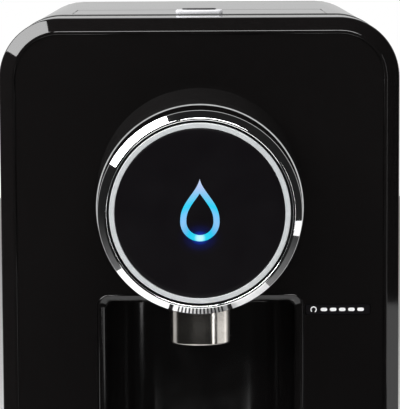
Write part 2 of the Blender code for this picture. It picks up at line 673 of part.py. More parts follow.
# ---------------------------------------------------------------- drip base
def make_drip_base(black, dark, steel):
    """The base in front of the body, its sliding tray and the lift-off grille."""
    half = BASE_W / 2
    y_back = FRONT_Y - GAP
    y_front = BASE_Y + FASCIA_T + GAP
    base = box("drip_base", (-half, half), (y_front, y_back), (FOOT_H, BASE_TOP), black)
    inner = half - BASE_WALL
    rear = y_back - BASE_WALL / 2
    cut(base, box("cut_base", (-inner, inner), (y_front - 0.01, rear),
                  (FOOT_H + BASE_FLOOR, BASE_TOP + 0.01)))

    low = FOOT_H + BASE_FLOOR + GAP
    wide = inner - SLIDE_GAP
    body = (y_front - GAP, rear - SLIDE_GAP)
    tray = box("drip_tray", (-wide, wide), (body[0] - 0.001, body[1]), (low, BASE_TOP), dark)
    corners = arc((half - FASCIA_R, BASE_Y + FASCIA_T), FASCIA_R, 0, -90)
    scale = FASCIA_T / FASCIA_R
    edge = [(x, BASE_Y + FASCIA_T + (y - BASE_Y - FASCIA_T) * scale) for x, y in corners]
    outline = edge + [(-x, y) for x, y in reversed(edge)]
    join(tray, prism("tray_fascia", outline, FOOT_H + 0.001, BASE_TOP, "Z"))
    ledge_z = BASE_TOP - GRILLE_T - GAP
    x_low = wide - TRAY_WALL - TRAY_LEDGE
    x_high = wide - TRAY_WALL
    y_low = (body[0] + TRAY_LEDGE, body[1] - TRAY_WALL - TRAY_LEDGE)
    y_high = (body[0], body[1] - TRAY_WALL)
    cut(tray, box("cut_basin", (-x_low, x_low), y_low, (low + TRAY_WALL, BASE_TOP + 0.01)),
        box("cut_seat", (-x_high, x_high), y_high, (ledge_z, BASE_TOP + 0.01)))

    gx = x_high - SLIDE_GAP
    gy = (y_high[0] + SLIDE_GAP, y_high[1] - SLIDE_GAP)
    grille = box("drip_grille", (-gx, gx), gy, (ledge_z + GAP, BASE_TOP), steel)
    count = int((2 * gx - 0.018) // SLOT_PITCH)
    middle = (gy[0] + gy[1]) / 2
    length = gy[1] - gy[0] - 0.024
    for k in range(count):
        x = (k - (count - 1) / 2) * SLOT_PITCH
        slot = rounded(SLOT_W, length, SLOT_W / 2 - 0.0001, (x, middle), 3)
        cut(grille, prism(f"cut_slot_{k}", slot, ledge_z - 0.01, BASE_TOP + 0.01, "Z"))
    hang(axis_empty("tray_axis", (0, BASE_Y, low)), tray)
    hang(axis_empty("grille_axis", (0, middle, ledge_z)), grille)


# ---------------------------------------------------------------- lid and tank
def make_lid(black, pale, steel):
    """The filling lid in the top face, its finger tab and hinge pins."""
    y0, y1 = LID_FRONT_Y, LID_BACK_Y
    z0, z1 = BODY_H - LID_T, BODY_H
    radius = LID_T / 2
    back = arc((LID_AXIS.y, LID_AXIS.z), radius, -90, 90)
    lid = prism("fill_lid", [(y0, z0)] + back + [(y0, z1)], -LID_W / 2, LID_W / 2, "X", black)
    tab_y = (y0 + TAB_SET_BACK, y0 + TAB_SET_BACK + TAB_D)
    half = TAB_W / 2
    cut(lid, box("cut_tab", (-half - GAP, half + GAP), (tab_y[0] - GAP, tab_y[1] + GAP),
                 (z1 - TAB_SEAT - GAP, z1 + 0.01)))
    for side in (-1, 1):
        start = (side * LID_W / 2, LID_AXIS.y, LID_AXIS.z)
        bore = rod(f"cut_lid_pin_{side}", start, SIDE * -side, PIN_R + GAP, -0.01,
                   PIN_LEN / 2 + GAP, sides=12)
        cut(lid, bore)
        name = "lid_pin_right" if side > 0 else "lid_pin_left"
        rod(name, start, SIDE * side, PIN_R, -PIN_LEN / 2, PIN_LEN / 2, steel, 12)
    outline = rounded(TAB_W, TAB_D, 0.002, (0, sum(tab_y) / 2), 4)
    tab = prism("lid_tab", outline, z1 - TAB_SEAT, z1 + TAB_H, "Z", pale)
    slot_y = tab_y[1] - 0.0045
    cut(tab, box("cut_tab_slot", (-TAB_SLOT_W / 2, TAB_SLOT_W / 2), (slot_y, slot_y + TAB_SLOT_D),
                 (z1 + 0.0004, z1 + 0.01)))
    hang(axis_empty("lid_axis", LID_AXIS), lid, tab)


def make_tank(clear, dark):
    """The fill-in-place water tank, its valve and the frame it stands on."""
    half = TANK_W / 2
    y = (TANK_Y, TANK_Y + TANK_D)
    z = (TANK_Z, TANK_Z + TANK_H)
    rim = TANK_RIM
    neck_x = LID_W / 2 + rim
    neck_y = (LID_FRONT_Y - rim, LID_BACK_Y + rim)
    tank = box("water_tank", (-half, half), y, z, clear)
    join(tank, box("tank_neck", (-neck_x, neck_x), neck_y, (z[1] - 0.001, RIM_Z)))
    t = TANK_WALL
    inside_x, inside_y = neck_x - rim - 0.004, (neck_y[0] + rim + 0.004, neck_y[1] - rim - 0.006)
    cut(tank, box("cut_tank", (t - half, half - t), (y[0] + t, y[1] - t), (z[0] + t, z[1] - t)),
        box("cut_tank_neck", (-inside_x, inside_x), inside_y, (z[1] - 2 * t, RIM_Z + 0.01)))
    for side in (-1, 1):
        reach = sorted((side * (LID_W / 2 - 0.002), side * (neck_x + 0.001)))
        width = (LID_AXIS.y - PIN_R - GAP, LID_AXIS.y + PIN_R + GAP)
        cut(tank, box(f"cut_rim_{side}", reach, width, (LID_AXIS.z - PIN_R - GAP, RIM_Z + 0.01)))

    outlet = (PUMP_X, PUMP_Y, TANK_Z)
    cut(tank, rod("cut_outlet", outlet, UP, 0.0045, -0.01, 0.02, sides=16))
    profile = [(0.0022, -0.012), (0.0040, -0.012), (0.0040, t + GAP), (0.0085, t + GAP),
               (0.0085, t + 0.004), (0.0022, t + 0.004)]
    turned("tank_valve", profile, outlet, UP, dark, 16)

    frame = box("inner_frame", (-half - 0.004, half + 0.004), (TANK_Y, WEB_Y + SHELF_T),
                (SHELF_Z, SHELF_Z + SHELF_T), finish("galvanised frame", (0.5, 0.5, 0.5), 0.4, 0.9))
    web = (FOOT_H + SHELL_T + GAP, SHELF_Z + SHELF_T)
    web_half = HALF_W - BOTTOM_R - 0.004
    join(frame, box("frame_web", (-web_half, web_half), (WEB_Y, WEB_Y + SHELF_T), web))
    gas = (CYL_X - 0.052, WEB_Y, SHELF_Z - 0.024)
    cut(frame, rod("cut_valve", outlet, UP, 0.006, -0.02, 0.002, sides=16),
        rod("cut_gas", gas, (0, 1, 0), HOSE_R + 0.001, -0.01, 0.02, sides=16))
    return gas


# ---------------------------------------------------------------- works
def make_works(steel, brass, dark, rubber, gas_pass):
    """Gas cylinder, pressure vessel, pump, boards and the hoses between them."""
    grey = finish("cylinder enamel", (0.70, 0.72, 0.74), 0.35)
    shoulder = CYL_H - 0.022
    profile = [(0, 0), (CYL_R - 0.004, 0), (CYL_R, 0.004), (CYL_R, shoulder)]
    profile += [(CYL_R * math.cos(a), shoulder + 0.016 * math.sin(a)) for a in (0.35, 0.7, 1.05)]
    profile += [(0.011, CYL_H), (0, CYL_H)]
    centre = (CYL_X, CYL_Y, CYL_Z)
    turned("gas_cylinder", profile, centre, UP, grey, 32)
    valve = CYL_H + GAP
    profile = [(0, valve), (0.0105, valve), (0.0105, valve + 0.012), (0.0075, valve + 0.012),
               (0.0075, valve + 0.020), (0, valve + 0.020)]
    turned("cylinder_valve", profile, centre, UP, brass, 20)
    low = CYL_Z + valve + 0.020 + GAP
    regulator = box("gas_regulator", (CYL_X - 0.018, CYL_X + 0.018), (CYL_Y - 0.018, CYL_Y + 0.018),
                    (low, low + 0.022), dark)
    join(regulator, rod("regulator_knob", (CYL_X, CYL_Y, low), UP, 0.012, 0.020, 0.030, sides=20))
    port = (CYL_X - 0.018 - 0.001, CYL_Y, low + 0.011)

    vessel_z = VESSEL_Z
    centre = (VESSEL_X, VESSEL_Y, vessel_z)
    r = VESSEL_R
    profile = [(0, 0.001), (r * 0.6, 0.0015), (r * 0.9, 0.006), (r, 0.014), (r, VESSEL_H - 0.010),
               (r * 0.92, VESSEL_H - 0.003), (r * 0.70, VESSEL_H), (0, VESSEL_H)]
    turned("pressure_vessel", profile, centre, UP, steel, 40)
    rack = pipe("vessel_stand", centre, UP, r + 0.004, r * 0.62, -0.0115, -0.0005, dark, 32)
    cut(rack, rod("cut_stand", centre, UP, r + 0.001, -0.0045, 0.02, sides=32))
    top = VESSEL_H + GAP
    cap = rod("vessel_cap", centre, UP, r * 0.62, top, top + 0.010, brass, 32)
    cap_z = vessel_z + top + 0.010
    water_in = (VESSEL_X + 0.015, VESSEL_Y, cap_z)
    gas_in = (VESSEL_X, VESSEL_Y + 0.015, cap_z)
    out = (VESSEL_X, VESSEL_Y - 0.015, cap_z)
    for name, place in (("water", water_in), ("gas", gas_in), ("out", out)):
        join(cap, rod(f"port_{name}", place, UP, 0.0042, -0.002, 0.008, sides=12))
    above = 0.008 + GAP

    pump_z = FOOT_H + SHELL_T + GAP
    centre = (PUMP_X, PUMP_Y, pump_z)
    rod("pump_motor", centre, UP, PUMP_R, 0, MOTOR_H, steel, 28)
    head_z = MOTOR_H + GAP
    side = PUMP_R * 0.9
    head = box("pump_head", (PUMP_X - side, PUMP_X + side), (PUMP_Y - side, PUMP_Y + side),
               (pump_z + head_z, pump_z + head_z + 0.028), dark)
    suction = (PUMP_X, PUMP_Y, pump_z + head_z + 0.028)
    pressure = (PUMP_X - side, PUMP_Y + 0.010, pump_z + head_z + 0.014)
    join(head, rod("port_suction", suction, UP, 0.0042, -0.002, 0.008, sides=12),
         rod("port_pressure", pressure, SIDE * -1, 0.0042, -0.002, 0.008, sides=12))

    board_y = WEB_Y + SHELF_T
    box("power_supply", (-0.078, -0.022), (board_y + GAP, board_y + 0.036), (0.060, 0.140),
        finish("supply case", (0.45, 0.46, 0.48), 0.4, 0.8))
    board = box("control_board", (-0.078, -0.002), (board_y + 0.005, board_y + 0.0066), (0.160, 0.270),
                finish("board green", (0.03, 0.20, 0.08), 0.5))
    for k in range(4):
        x = -0.074 + 0.018 * k
        join(board, box(f"chip_{k}", (x, x + 0.012), (board_y + 0.006, board_y + 0.013), (0.180, 0.200)))
    for z in (0.164, 0.262):
        join(board, box(f"post_{z}", (-0.050, -0.044), (board_y + GAP, board_y + 0.0055), (z, z + 0.004)))
    inlet = (INLET_X + GAP, INLET_X + INLET_W - GAP)
    socket = box("power_inlet", inlet, (BACK_Y - 0.016, REAR_Y),
                 (INLET_Z + GAP, INLET_Z + INLET_H - GAP), dark)
    cut(socket, box("cut_socket", (inlet[0] + 0.003, inlet[1] - 0.003), (BACK_Y - 0.012, REAR_Y + 0.01),
                    (0.0335, 0.0485)))
    for k in (-1, 0, 1):
        x = sum(inlet) / 2 + 0.007 * k
        join(socket, box(f"blade_{k}", (x - 0.001, x + 0.001), (BACK_Y - 0.013, REAR_Y - 0.003),
                         (0.039, 0.043)))

    hose("hose_suction", [(PUMP_X, PUMP_Y, TANK_Z - 0.012 - GAP), (PUMP_X, PUMP_Y, TANK_Z - 0.040),
                          (PUMP_X, PUMP_Y, suction[2] + 0.040), (PUMP_X, PUMP_Y, suction[2] + above)], rubber)
    clear_x = VESSEL_X + r + HOSE_R + 0.005
    hose("hose_pressure", [(pressure[0] - above - GAP, pressure[1], pressure[2]),
                           (clear_x + 0.007, pressure[1], pressure[2]),
                           (clear_x + 0.003, pressure[1], pressure[2] + 0.003),
                           (clear_x, pressure[1] + 0.001, pressure[2] + 0.009),
                           (clear_x, pressure[1] + 0.001, pressure[2] + 0.020),
                           (clear_x, pressure[1] + 0.002, pressure[2] + 0.050),
                           (clear_x, pressure[1] + 0.010, cap_z + 0.014),
                           (clear_x - 0.014, water_in[1], cap_z + 0.036),
                           (water_in[0] + 0.002, water_in[1], cap_z + 0.026),
                           (water_in[0], water_in[1], cap_z + above)], rubber)
    gap_y = PANEL_BACK + 0.008
    ceiling = ALCOVE_TOP - ALCOVE_LIP + ALCOVE_WALL
    lane = (ceiling + SHELF_Z) / 2
    block_back = NOZZLE_Y + NOZZLE_R + OUTLET_WALL + GAP
    hose("hose_outlet", [(out[0], out[1], cap_z + above), (out[0] + 0.002, out[1] - 0.002, lane - 0.022),
                         (out[0] + 0.016, out[1] - 0.030, lane), (-0.006, -0.020, lane),
                         (0, gap_y + 0.010, lane + 0.001), (0, gap_y - 0.001, lane + 0.014),
                         (0, PANEL_Y - 0.010, AXIS_Z - 0.029), (0, block_back, AXIS_Z - 0.029)], rubber)
    px, py, pz = gas_pass
    hose("hose_gas", [(port[0] - GAP, port[1], port[2]), (port[0] - 0.012, port[1] - 0.004, port[2] - 0.004),
                      (px, port[1] - 0.020, port[2] - 0.050), (px, py + 0.016, pz + 0.006),
                      (px, py + 0.001, pz), (px - 0.010, py - 0.016, pz - 0.002),
                      (gas_in[0] + 0.002, gas_in[1] + 0.004, pz - 0.006),
                      (gas_in[0], gas_in[1], cap_z + above)], rubber, 0.0022)


def make_door(dark, steel):
    """The rear door over the gas cylinder, on two pins."""
    x0, x1 = DOOR_EDGE_X - DOOR_W, DOOR_EDGE_X
    plate_y = (REAR_Y - DOOR_T, REAR_Y - 0.0002)
    z = (DOOR_LOW + GAP, DOOR_LOW + DOOR_H - GAP)
    door = box("cylinder_door", (x0, x1), plate_y, z, dark)
    barrel = rod("door_barrel", (*DOOR_AXIS.xy, 0), UP, DOOR_BARREL_R, *z, sides=16)
    join(door, barrel)
    box_cut = box("cut_grip", (x0 + 0.004, x0 + 0.010), (REAR_Y - 0.0012, REAR_Y + 0.01),
                  (DOOR_LOW + DOOR_H / 2 - 0.015, DOOR_LOW + DOOR_H / 2 + 0.015))
    cut(door, box_cut)
    ends = (("low", DOOR_LOW), ("high", DOOR_LOW + DOOR_H))
    for name, at in ends:
        bore = rod(f"cut_barrel_{name}", (*DOOR_AXIS.xy, at), UP, PIN_R + GAP, -PIN_LEN / 2 - GAP,
                   PIN_LEN / 2 + GAP, sides=12)
        cut(door, bore)
        rod(f"door_pin_{name}", (*DOOR_AXIS.xy, at), UP, PIN_R, -PIN_LEN / 2 + 2 * GAP,
            PIN_LEN / 2 - 2 * GAP, steel, 12)
    hang(axis_empty("door_axis", DOOR_AXIS), door)


def main():
    for old in list(bpy.data.objects):
        bpy.data.objects.remove(old, do_unlink=True)
    black = finish("piano black", (0.008, 0.007, 0.007), 0.08)
    dark = finish("black moulding", (0.02, 0.02, 0.02), 0.45)
    gloss = finish("black glass", (0.006, 0.007, 0.010), 0.05)
    chrome = finish("chrome plate", (0.88, 0.88, 0.90), 0.05, 1.0)
    silver = finish("satin silver", (0.62, 0.64, 0.66), 0.35, 1.0)
    steel = finish("brushed steel", (0.60, 0.58, 0.56), 0.30, 1.0)
    brass = finish("brass", (0.70, 0.52, 0.22), 0.30, 1.0)
    light = finish("light guide", (0.72, 0.80, 1.0), 0.30)
    pale = finish("pale moulding", (0.62, 0.62, 0.64), 0.40)
    clear = finish("clear tank", (0.75, 0.80, 0.82), 0.15)
    rubber = finish("hose rubber", (0.05, 0.05, 0.05), 0.6)
    make_housing(black, dark)
    make_alcove(black)
    make_head(black, chrome, silver, gloss, light, steel, dark)
    make_reset_key(gloss, dark)
    make_drip_base(black, dark, steel)
    make_lid(black, pale, steel)
    gas_pass = make_tank(clear, dark)
    make_works(steel, brass, dark, rubber, gas_pass)
    make_door(dark, steel)


main()
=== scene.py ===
# %% [markdown]
# # A countertop soda carbonator
#
# The machine is a tall gloss-black box with a round push head, a steel nozzle and a niche for the
# glass. The measured parts come in as a fixed frame of nodes. This lesson gives each visible part
# its finish, and rebuilds the parts whose curves the eye follows, such as the chrome ring and the
# rolled edge of the niche, as fine surfaces worked out with numpy.

# %% Load the frame
import json
import math

import bmesh
import bpy
import numpy as np
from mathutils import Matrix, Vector


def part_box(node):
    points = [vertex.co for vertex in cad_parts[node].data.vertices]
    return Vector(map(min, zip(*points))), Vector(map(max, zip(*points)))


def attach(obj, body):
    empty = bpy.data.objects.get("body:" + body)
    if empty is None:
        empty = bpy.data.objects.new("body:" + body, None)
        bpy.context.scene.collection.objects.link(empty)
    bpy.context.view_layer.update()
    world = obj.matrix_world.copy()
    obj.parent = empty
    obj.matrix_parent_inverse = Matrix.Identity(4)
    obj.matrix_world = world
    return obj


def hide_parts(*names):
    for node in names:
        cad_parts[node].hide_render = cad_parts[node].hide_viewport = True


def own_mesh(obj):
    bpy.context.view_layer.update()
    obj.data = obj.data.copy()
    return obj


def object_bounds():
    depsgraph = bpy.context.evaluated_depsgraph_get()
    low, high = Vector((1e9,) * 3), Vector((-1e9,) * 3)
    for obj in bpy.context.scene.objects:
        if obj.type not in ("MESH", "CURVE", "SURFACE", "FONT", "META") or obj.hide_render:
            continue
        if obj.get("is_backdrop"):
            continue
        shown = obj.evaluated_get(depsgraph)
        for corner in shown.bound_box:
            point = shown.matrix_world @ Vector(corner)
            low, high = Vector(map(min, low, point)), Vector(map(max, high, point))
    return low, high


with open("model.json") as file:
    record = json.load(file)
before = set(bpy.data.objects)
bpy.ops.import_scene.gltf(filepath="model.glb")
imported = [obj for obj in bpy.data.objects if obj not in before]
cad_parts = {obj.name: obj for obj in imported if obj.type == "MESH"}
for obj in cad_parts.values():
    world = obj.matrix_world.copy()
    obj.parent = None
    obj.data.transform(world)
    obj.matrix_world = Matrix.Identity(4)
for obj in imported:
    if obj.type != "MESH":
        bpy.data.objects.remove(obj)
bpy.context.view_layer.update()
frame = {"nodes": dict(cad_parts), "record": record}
nodes = frame["nodes"]

# %% [markdown]
# ## The sizes that the surfaces share
#
# Only radii and chamfers, which a box can't show, are written down here.

# %% Read the places
MM = 0.001
frame_low, frame_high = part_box("front_frame")
HALF_W = frame_high[0]
TOP_Z = frame_high[2]
FOOT_Z = frame_low[2]
FRONT_Y = frame_low[1]
ring_low, ring_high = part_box("chrome_ring")
AXIS_Z = (ring_low[2] + ring_high[2]) / 2
FACE_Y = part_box("button_face")[0][1]
CORNER_R = 30 * MM
BOTTOM_R = 16 * MM
print("front plane", round(FRONT_Y, 4), "head axis", round(AXIS_Z, 4), "face", round(FACE_Y, 4))


# %% [markdown]
# ## Turning arrays into meshes
#
# Nearly every piece here is a grid: points that follow two parameters, u and v. One helper joins
# neighbours into quads. Closing a direction joins its last row to its first, as round a ring. Flat
# ends get a fan to their middle, so nothing is left open.

# %% Grid helpers
def quads(rows, columns, close_rows=False, close_columns=False, keep=None):
    """Corner numbers of the quads of a rows x columns grid; keep masks out quads for a hole."""
    r = np.arange(rows if close_rows else rows - 1)
    c = np.arange(columns if close_columns else columns - 1)
    r, c = np.meshgrid(r, c, indexing="ij")
    nr, nc = (r + 1) % rows, (c + 1) % columns
    faces = np.stack([r * columns + c, r * columns + nc, nr * columns + nc, nr * columns + c], axis=-1)
    return faces[keep] if keep is not None else faces.reshape(-1, 4)


def piece(name, points, faces, body, *stands_for, smooth=40, flip=False):
    """A mesh object from points and quads that rides on a body and stands for CAD nodes."""
    mesh = bpy.data.meshes.new(name)
    faces = np.asarray(faces)
    if flip:
        faces = faces[:, ::-1]
    mesh.from_pydata(np.asarray(points).reshape(-1, 3).tolist(), [], faces.tolist())
    mesh.shade_smooth()
    mesh.set_sharp_from_angle(angle=math.radians(smooth))
    made = bpy.data.objects.new(name, mesh)
    bpy.context.scene.collection.objects.link(made)
    if stands_for:
        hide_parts(*stands_for)
    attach(made, body)
    return made


def rounded_path(corners, radii, steps=5, closed=True, guard=0.12 * MM):
    """A 2-D path whose corners are arcs.

    Each corner is swapped for points of the circle that touches both of its sides. The arc starts
    radius / tan(half the corner's angle) along each side. A guard point just past each end of the arc
    keeps the flat beside it flat when it is shaded smooth.
    """
    corners = np.asarray(corners, float)
    count = len(corners)
    radii = np.where(closed | ~np.isin(np.arange(count), (0, count - 1)), np.broadcast_to(radii, count), 0)
    back = np.roll(corners, 1, axis=0) - corners
    side = np.linalg.norm(back, axis=1)
    back /= side[:, None]
    ahead = -np.roll(back, -1, axis=0)
    half = np.arccos(np.clip(np.sum(back * ahead, axis=1), -1, 1)) / 2
    reach = radii / np.tan(half)
    path = []
    for k in range(count):
        if radii[k] <= 0:
            path.append(corners[k][None])
            continue
        middle = (back[k] + ahead[k]) / np.linalg.norm(back[k] + ahead[k])
        centre = corners[k] + middle * radii[k] / math.sin(half[k])
        start, end = (corners[k] + way * reach[k] - centre for way in (back[k], ahead[k]))
        sweep = math.pi - 2 * half[k]
        t = np.linspace(0, 1, steps + 1)[:, None]
        arc = centre + (np.sin((1 - t) * sweep) * start + np.sin(t * sweep) * end) / math.sin(sweep)
        room_back = side[k] - reach[k] - reach[k - 1] > 3 * guard
        room_ahead = side[(k + 1) % count] - reach[k] - reach[(k + 1) % count] > 3 * guard
        path.append(np.concatenate([arc[:1] + back[k] * guard] * room_back + [arc]
                                   + [arc[-1:] + ahead[k] * guard] * room_ahead))
    return np.concatenate(path)


def lathe(name, profile, centre, along, body, *stands_for, sides=160, smooth=40):
    """A closed profile of (radius, distance) turned about a line.

    Point (i, j) = centre + along * distance_i + radius_i * (across cos t_j + other sin t_j).
    """
    along = np.asarray(along, float)
    across = np.array([0, 0, 1.0]) if abs(along[2]) < 0.5 else np.array([1.0, 0, 0])
    other = np.cross(along, across)
    turn = np.linspace(0, 2 * math.pi, sides, endpoint=False)
    circle = np.cos(turn)[:, None] * across + np.sin(turn)[:, None] * other
    profile = np.asarray(profile)
    points = centre + profile[:, 1, None, None] * along + profile[:, 0, None, None] * circle
    area = np.sum(profile[:, 0] * np.roll(profile[:, 1], -1) - np.roll(profile[:, 0], -1) * profile[:, 1])
    faces = quads(len(profile), sides, close_rows=True, close_columns=True)
    return piece(name, points, faces, body, *stands_for, smooth=smooth, flip=area < 0)


# %% Closing seams and poles
def merge(made):
    """Welds points that lie together, so poles and seams are closed."""
    shape = bmesh.new()
    shape.from_mesh(made.data)
    bmesh.ops.remove_doubles(shape, verts=shape.verts, dist=1e-6)
    bmesh.ops.recalc_face_normals(shape, faces=shape.faces)
    shape.to_mesh(made.data)
    shape.free()


# %% [markdown]
# ## Finishes
#
# Gloss black plastic is mostly what it reflects, so its colour is nearly black and the work goes
# into its gloss: a faint unevenness of the moulding bends reflections, and fine wiping marks change
# the roughness. Metals differ by how they were worked: plated, brushed or satin. Every pattern
# reads object coordinates, so it keeps its size in metres on every part.

# %% A general finish
def finish(name, colour, rough, metal=0.0, wear=0.1, grain=0.0, grain_size=0.5 * MM, wave=0.0,
           wave_size=30 * MM, stretch=(1, 1, 1), **sockets):
    """A procedural material: colour and roughness varied by noise, with fine grain and slow waves.

    wear is how far the roughness strays; grain and wave are bump strengths, each at its own size.
    """
    made = bpy.data.materials.new(name)
    made.use_nodes = True
    tree = made.node_tree
    shader = tree.nodes["Principled BSDF"]
    shader.inputs["Metallic"].default_value = metal
    for socket, value in sockets.items():
        shader.inputs[socket.replace("_", " ")].default_value = value
    place = tree.nodes.new("ShaderNodeTexCoord")
    mapping = tree.nodes.new("ShaderNodeMapping")
    mapping.inputs["Scale"].default_value = stretch
    tree.links.new(place.outputs["Object"], mapping.inputs["Vector"])

    def noise(size, detail):
        made_noise = tree.nodes.new("ShaderNodeTexNoise")
        made_noise.inputs["Scale"].default_value = 1 / size
        made_noise.inputs["Detail"].default_value = detail
        tree.links.new(mapping.outputs["Vector"], made_noise.inputs["Vector"])
        return made_noise.outputs["Fac"]

    def spread(source, low, high):
        ranged = tree.nodes.new("ShaderNodeMapRange")
        ranged.inputs["From Min"].default_value = 0.3
        ranged.inputs["From Max"].default_value = 0.7
        ranged.inputs["To Min"].default_value = low
        ranged.inputs["To Max"].default_value = high
        tree.links.new(source, ranged.inputs["Value"])
        return ranged.outputs["Result"]

    cloud = noise(12 * MM, 5)
    tree.links.new(spread(cloud, rough * (1 - wear), rough * (1 + wear)), shader.inputs["Roughness"])
    tint = tree.nodes.new("ShaderNodeMix")
    tint.data_type = "RGBA"
    tint.inputs["A"].default_value = (*[c * 0.92 for c in colour], 1)
    tint.inputs["B"].default_value = (*[min(c * 1.08, 1) for c in colour], 1)
    tree.links.new(spread(noise(4 * MM, 4), 0, 1), tint.inputs["Factor"])
    tree.links.new(tint.outputs["Result"], shader.inputs["Base Color"])
    last = None
    for strength, size, distance in ((wave, wave_size, 0.6 * MM), (grain, grain_size, 0.05 * MM)):
        if not strength:
            continue
        bump = tree.nodes.new("ShaderNodeBump")
        bump.inputs["Strength"].default_value = strength
        bump.inputs["Distance"].default_value = distance
        tree.links.new(noise(size, 2), bump.inputs["Height"])
        if last:
            tree.links.new(last, bump.inputs["Normal"])
        last = bump.outputs["Normal"]
    if last:
        tree.links.new(last, shader.inputs["Normal"])
    return made


def dress(material, *names):
    """Puts one material in every slot of the named nodes."""
    for name in names:
        mesh = nodes[name].data
        mesh.materials.clear()
        mesh.materials.append(material)


gloss_black = finish("gloss black moulding", (0.0045, 0.0040, 0.0040), 0.045, wear=0.3, wave=0.012)
niche_black = finish("gloss black niche", (0.0045, 0.0040, 0.0040), 0.10, wear=0.25, wave=0.03)
soft_black = finish("grained black moulding", (0.018, 0.018, 0.019), 0.42, wear=0.15, grain=0.25,
                    grain_size=0.6 * MM)
neck_black = finish("gloss black neck", (0.0085, 0.0080, 0.0080), 0.16, wear=0.2, wave=0.02)
face_black = finish("satin black face", (0.0024, 0.0018, 0.0026), 0.36, wear=0.08, grain=0.06,
                    grain_size=0.3 * MM, Specular_IOR_Level=0.16)
chrome = finish("chrome plate", (0.86, 0.86, 0.87), 0.035, 1.0, wear=0.3)
silver = finish("satin silver", (0.52, 0.54, 0.55), 0.42, 0.25, wear=0.1, grain=0.1, grain_size=0.2 * MM)
steel = finish("brushed steel", (0.60, 0.57, 0.53), 0.16, 1.0, wear=0.15, grain=0.25, grain_size=0.25 * MM,
               stretch=(0.06, 0.06, 1))
plate_steel = finish("brushed plate", (0.84, 0.84, 0.83), 0.42, 1.0, wear=0.15, grain=0.2,
                     grain_size=0.3 * MM, stretch=(1, 0.05, 1))
brass = finish("turned brass", (0.66, 0.47, 0.19), 0.28, 1.0, wear=0.2, grain=0.15)
zinc = finish("zinc plate", (0.62, 0.62, 0.60), 0.36, 1.0, wear=0.25, grain=0.1)
galvanised = finish("galvanised sheet", (0.47, 0.48, 0.49), 0.42, 0.9, wear=0.3, grain=0.1, grain_size=3 * MM)
enamel = finish("pale enamel", (0.66, 0.68, 0.70), 0.25, wear=0.2, wave=0.05)
rubber = finish("rubber", (0.022, 0.022, 0.022), 0.75, wear=0.1, grain=0.3)
board_green = finish("solder mask", (0.02, 0.13, 0.05), 0.35, wear=0.2, grain=0.2, grain_size=1.5 * MM)
case_metal = finish("folded sheet", (0.42, 0.43, 0.45), 0.35, 1.0, wear=0.2, grain=0.1)
grey_plastic = finish("grey moulding", (0.20, 0.20, 0.21), 0.45, grain=0.2)
pale_plastic = finish("pale moulding", (0.56, 0.56, 0.58), 0.35, wear=0.15, grain=0.12, grain_size=0.4 * MM)
clear_plastic = finish("clear tank plastic", (0.80, 0.87, 0.90), 0.08, wear=0.3, wave=0.05,
                       Transmission_Weight=0.9, IOR=1.49)
print(len(bpy.data.materials), "materials")

# %% Dress the parts that keep their solids
dress(gloss_black, "front_panel", "drip_base", "fill_lid", "body_shell", "front_frame")
dress(niche_black, "alcove_liner")
dress(neck_black, "head_neck")
dress(soft_black, "base_pan", "back_panel", "head_carrier", "button_carrier", "nozzle_outlet",
      "outlet_block", "drip_tray", "tank_valve", "gas_regulator", "vessel_stand", "pump_head",
      "power_inlet", "cylinder_door")
dress(face_black, "button_face", "reset_key")
dress(chrome, "chrome_ring")
dress(silver, "button_trim")
dress(steel, "nozzle_sleeve", "pressure_vessel", "pump_motor")
dress(plate_steel, "drip_grille")
dress(brass, "cylinder_valve", "vessel_cap")
dress(zinc, "back_screw_1", "back_screw_2", "back_screw_3", "back_screw_4", "lid_pin_left", "lid_pin_right",
      "door_pin_low", "door_pin_high", "button_spring", "reset_spring")
dress(galvanised, "inner_frame")
dress(enamel, "gas_cylinder")
dress(rubber, "foot_1", "foot_2", "foot_3", "foot_4", "outlet_seal", "hose_gas", "hose_outlet",
      "hose_pressure", "hose_suction")
dress(board_green, "led_board", "reset_board", "control_board")
dress(case_metal, "power_supply")
dress(grey_plastic, "push_switch", "reset_switch")
dress(pale_plastic, "lid_tab")
dress(clear_plastic, "water_tank")


# %% [markdown]
# ## The front frame and the shell
#
# Seen from the front the body is a rectangle with two large corners at the top. Every part that
# wraps round it follows the same outline, only stepped in by some inset, and since the corner
# circles share their centres, an inset just shortens their radius. So the frame is one section,
# with a chamfer and small fillets, carried round that outline. The chamfer's two edges have the
# largest fillets, since a rounder edge glints as a wider line.

# %% The outline round the body
def outline_parts(steps=24):
    """Centres, radii and directions round the body's outline.

    A point of it, stepped in, is centre + (radius - inset) * direction.
    """
    high, low = TOP_Z - CORNER_R, FOOT_Z + BOTTOM_R
    corners = ((HALF_W - CORNER_R, high, CORNER_R, 0), (CORNER_R - HALF_W, high, CORNER_R, 90),
               (BOTTOM_R - HALF_W, low, BOTTOM_R, 180), (HALF_W - BOTTOM_R, low, BOTTOM_R, 270))
    rows = []
    for x, z, radius, start in corners:
        turn = np.radians(np.linspace(start, start + 90, steps + 1))
        rows.append(np.stack([np.full_like(turn, x), np.full_like(turn, z), np.full_like(turn, radius),
                              np.cos(turn), np.sin(turn)], axis=1))
    return np.concatenate(rows)


def around_body(section, parts):
    """Carries a section of (inset, y) round the outline: one row of points for each section point."""
    inset, y = section[:, 0, None], section[:, 1, None]
    reach = parts[None, :, 2] - inset
    x = parts[None, :, 0] + reach * parts[None, :, 3]
    z = parts[None, :, 1] + reach * parts[None, :, 4]
    return np.stack([x, np.broadcast_to(y, x.shape), z], axis=-1)


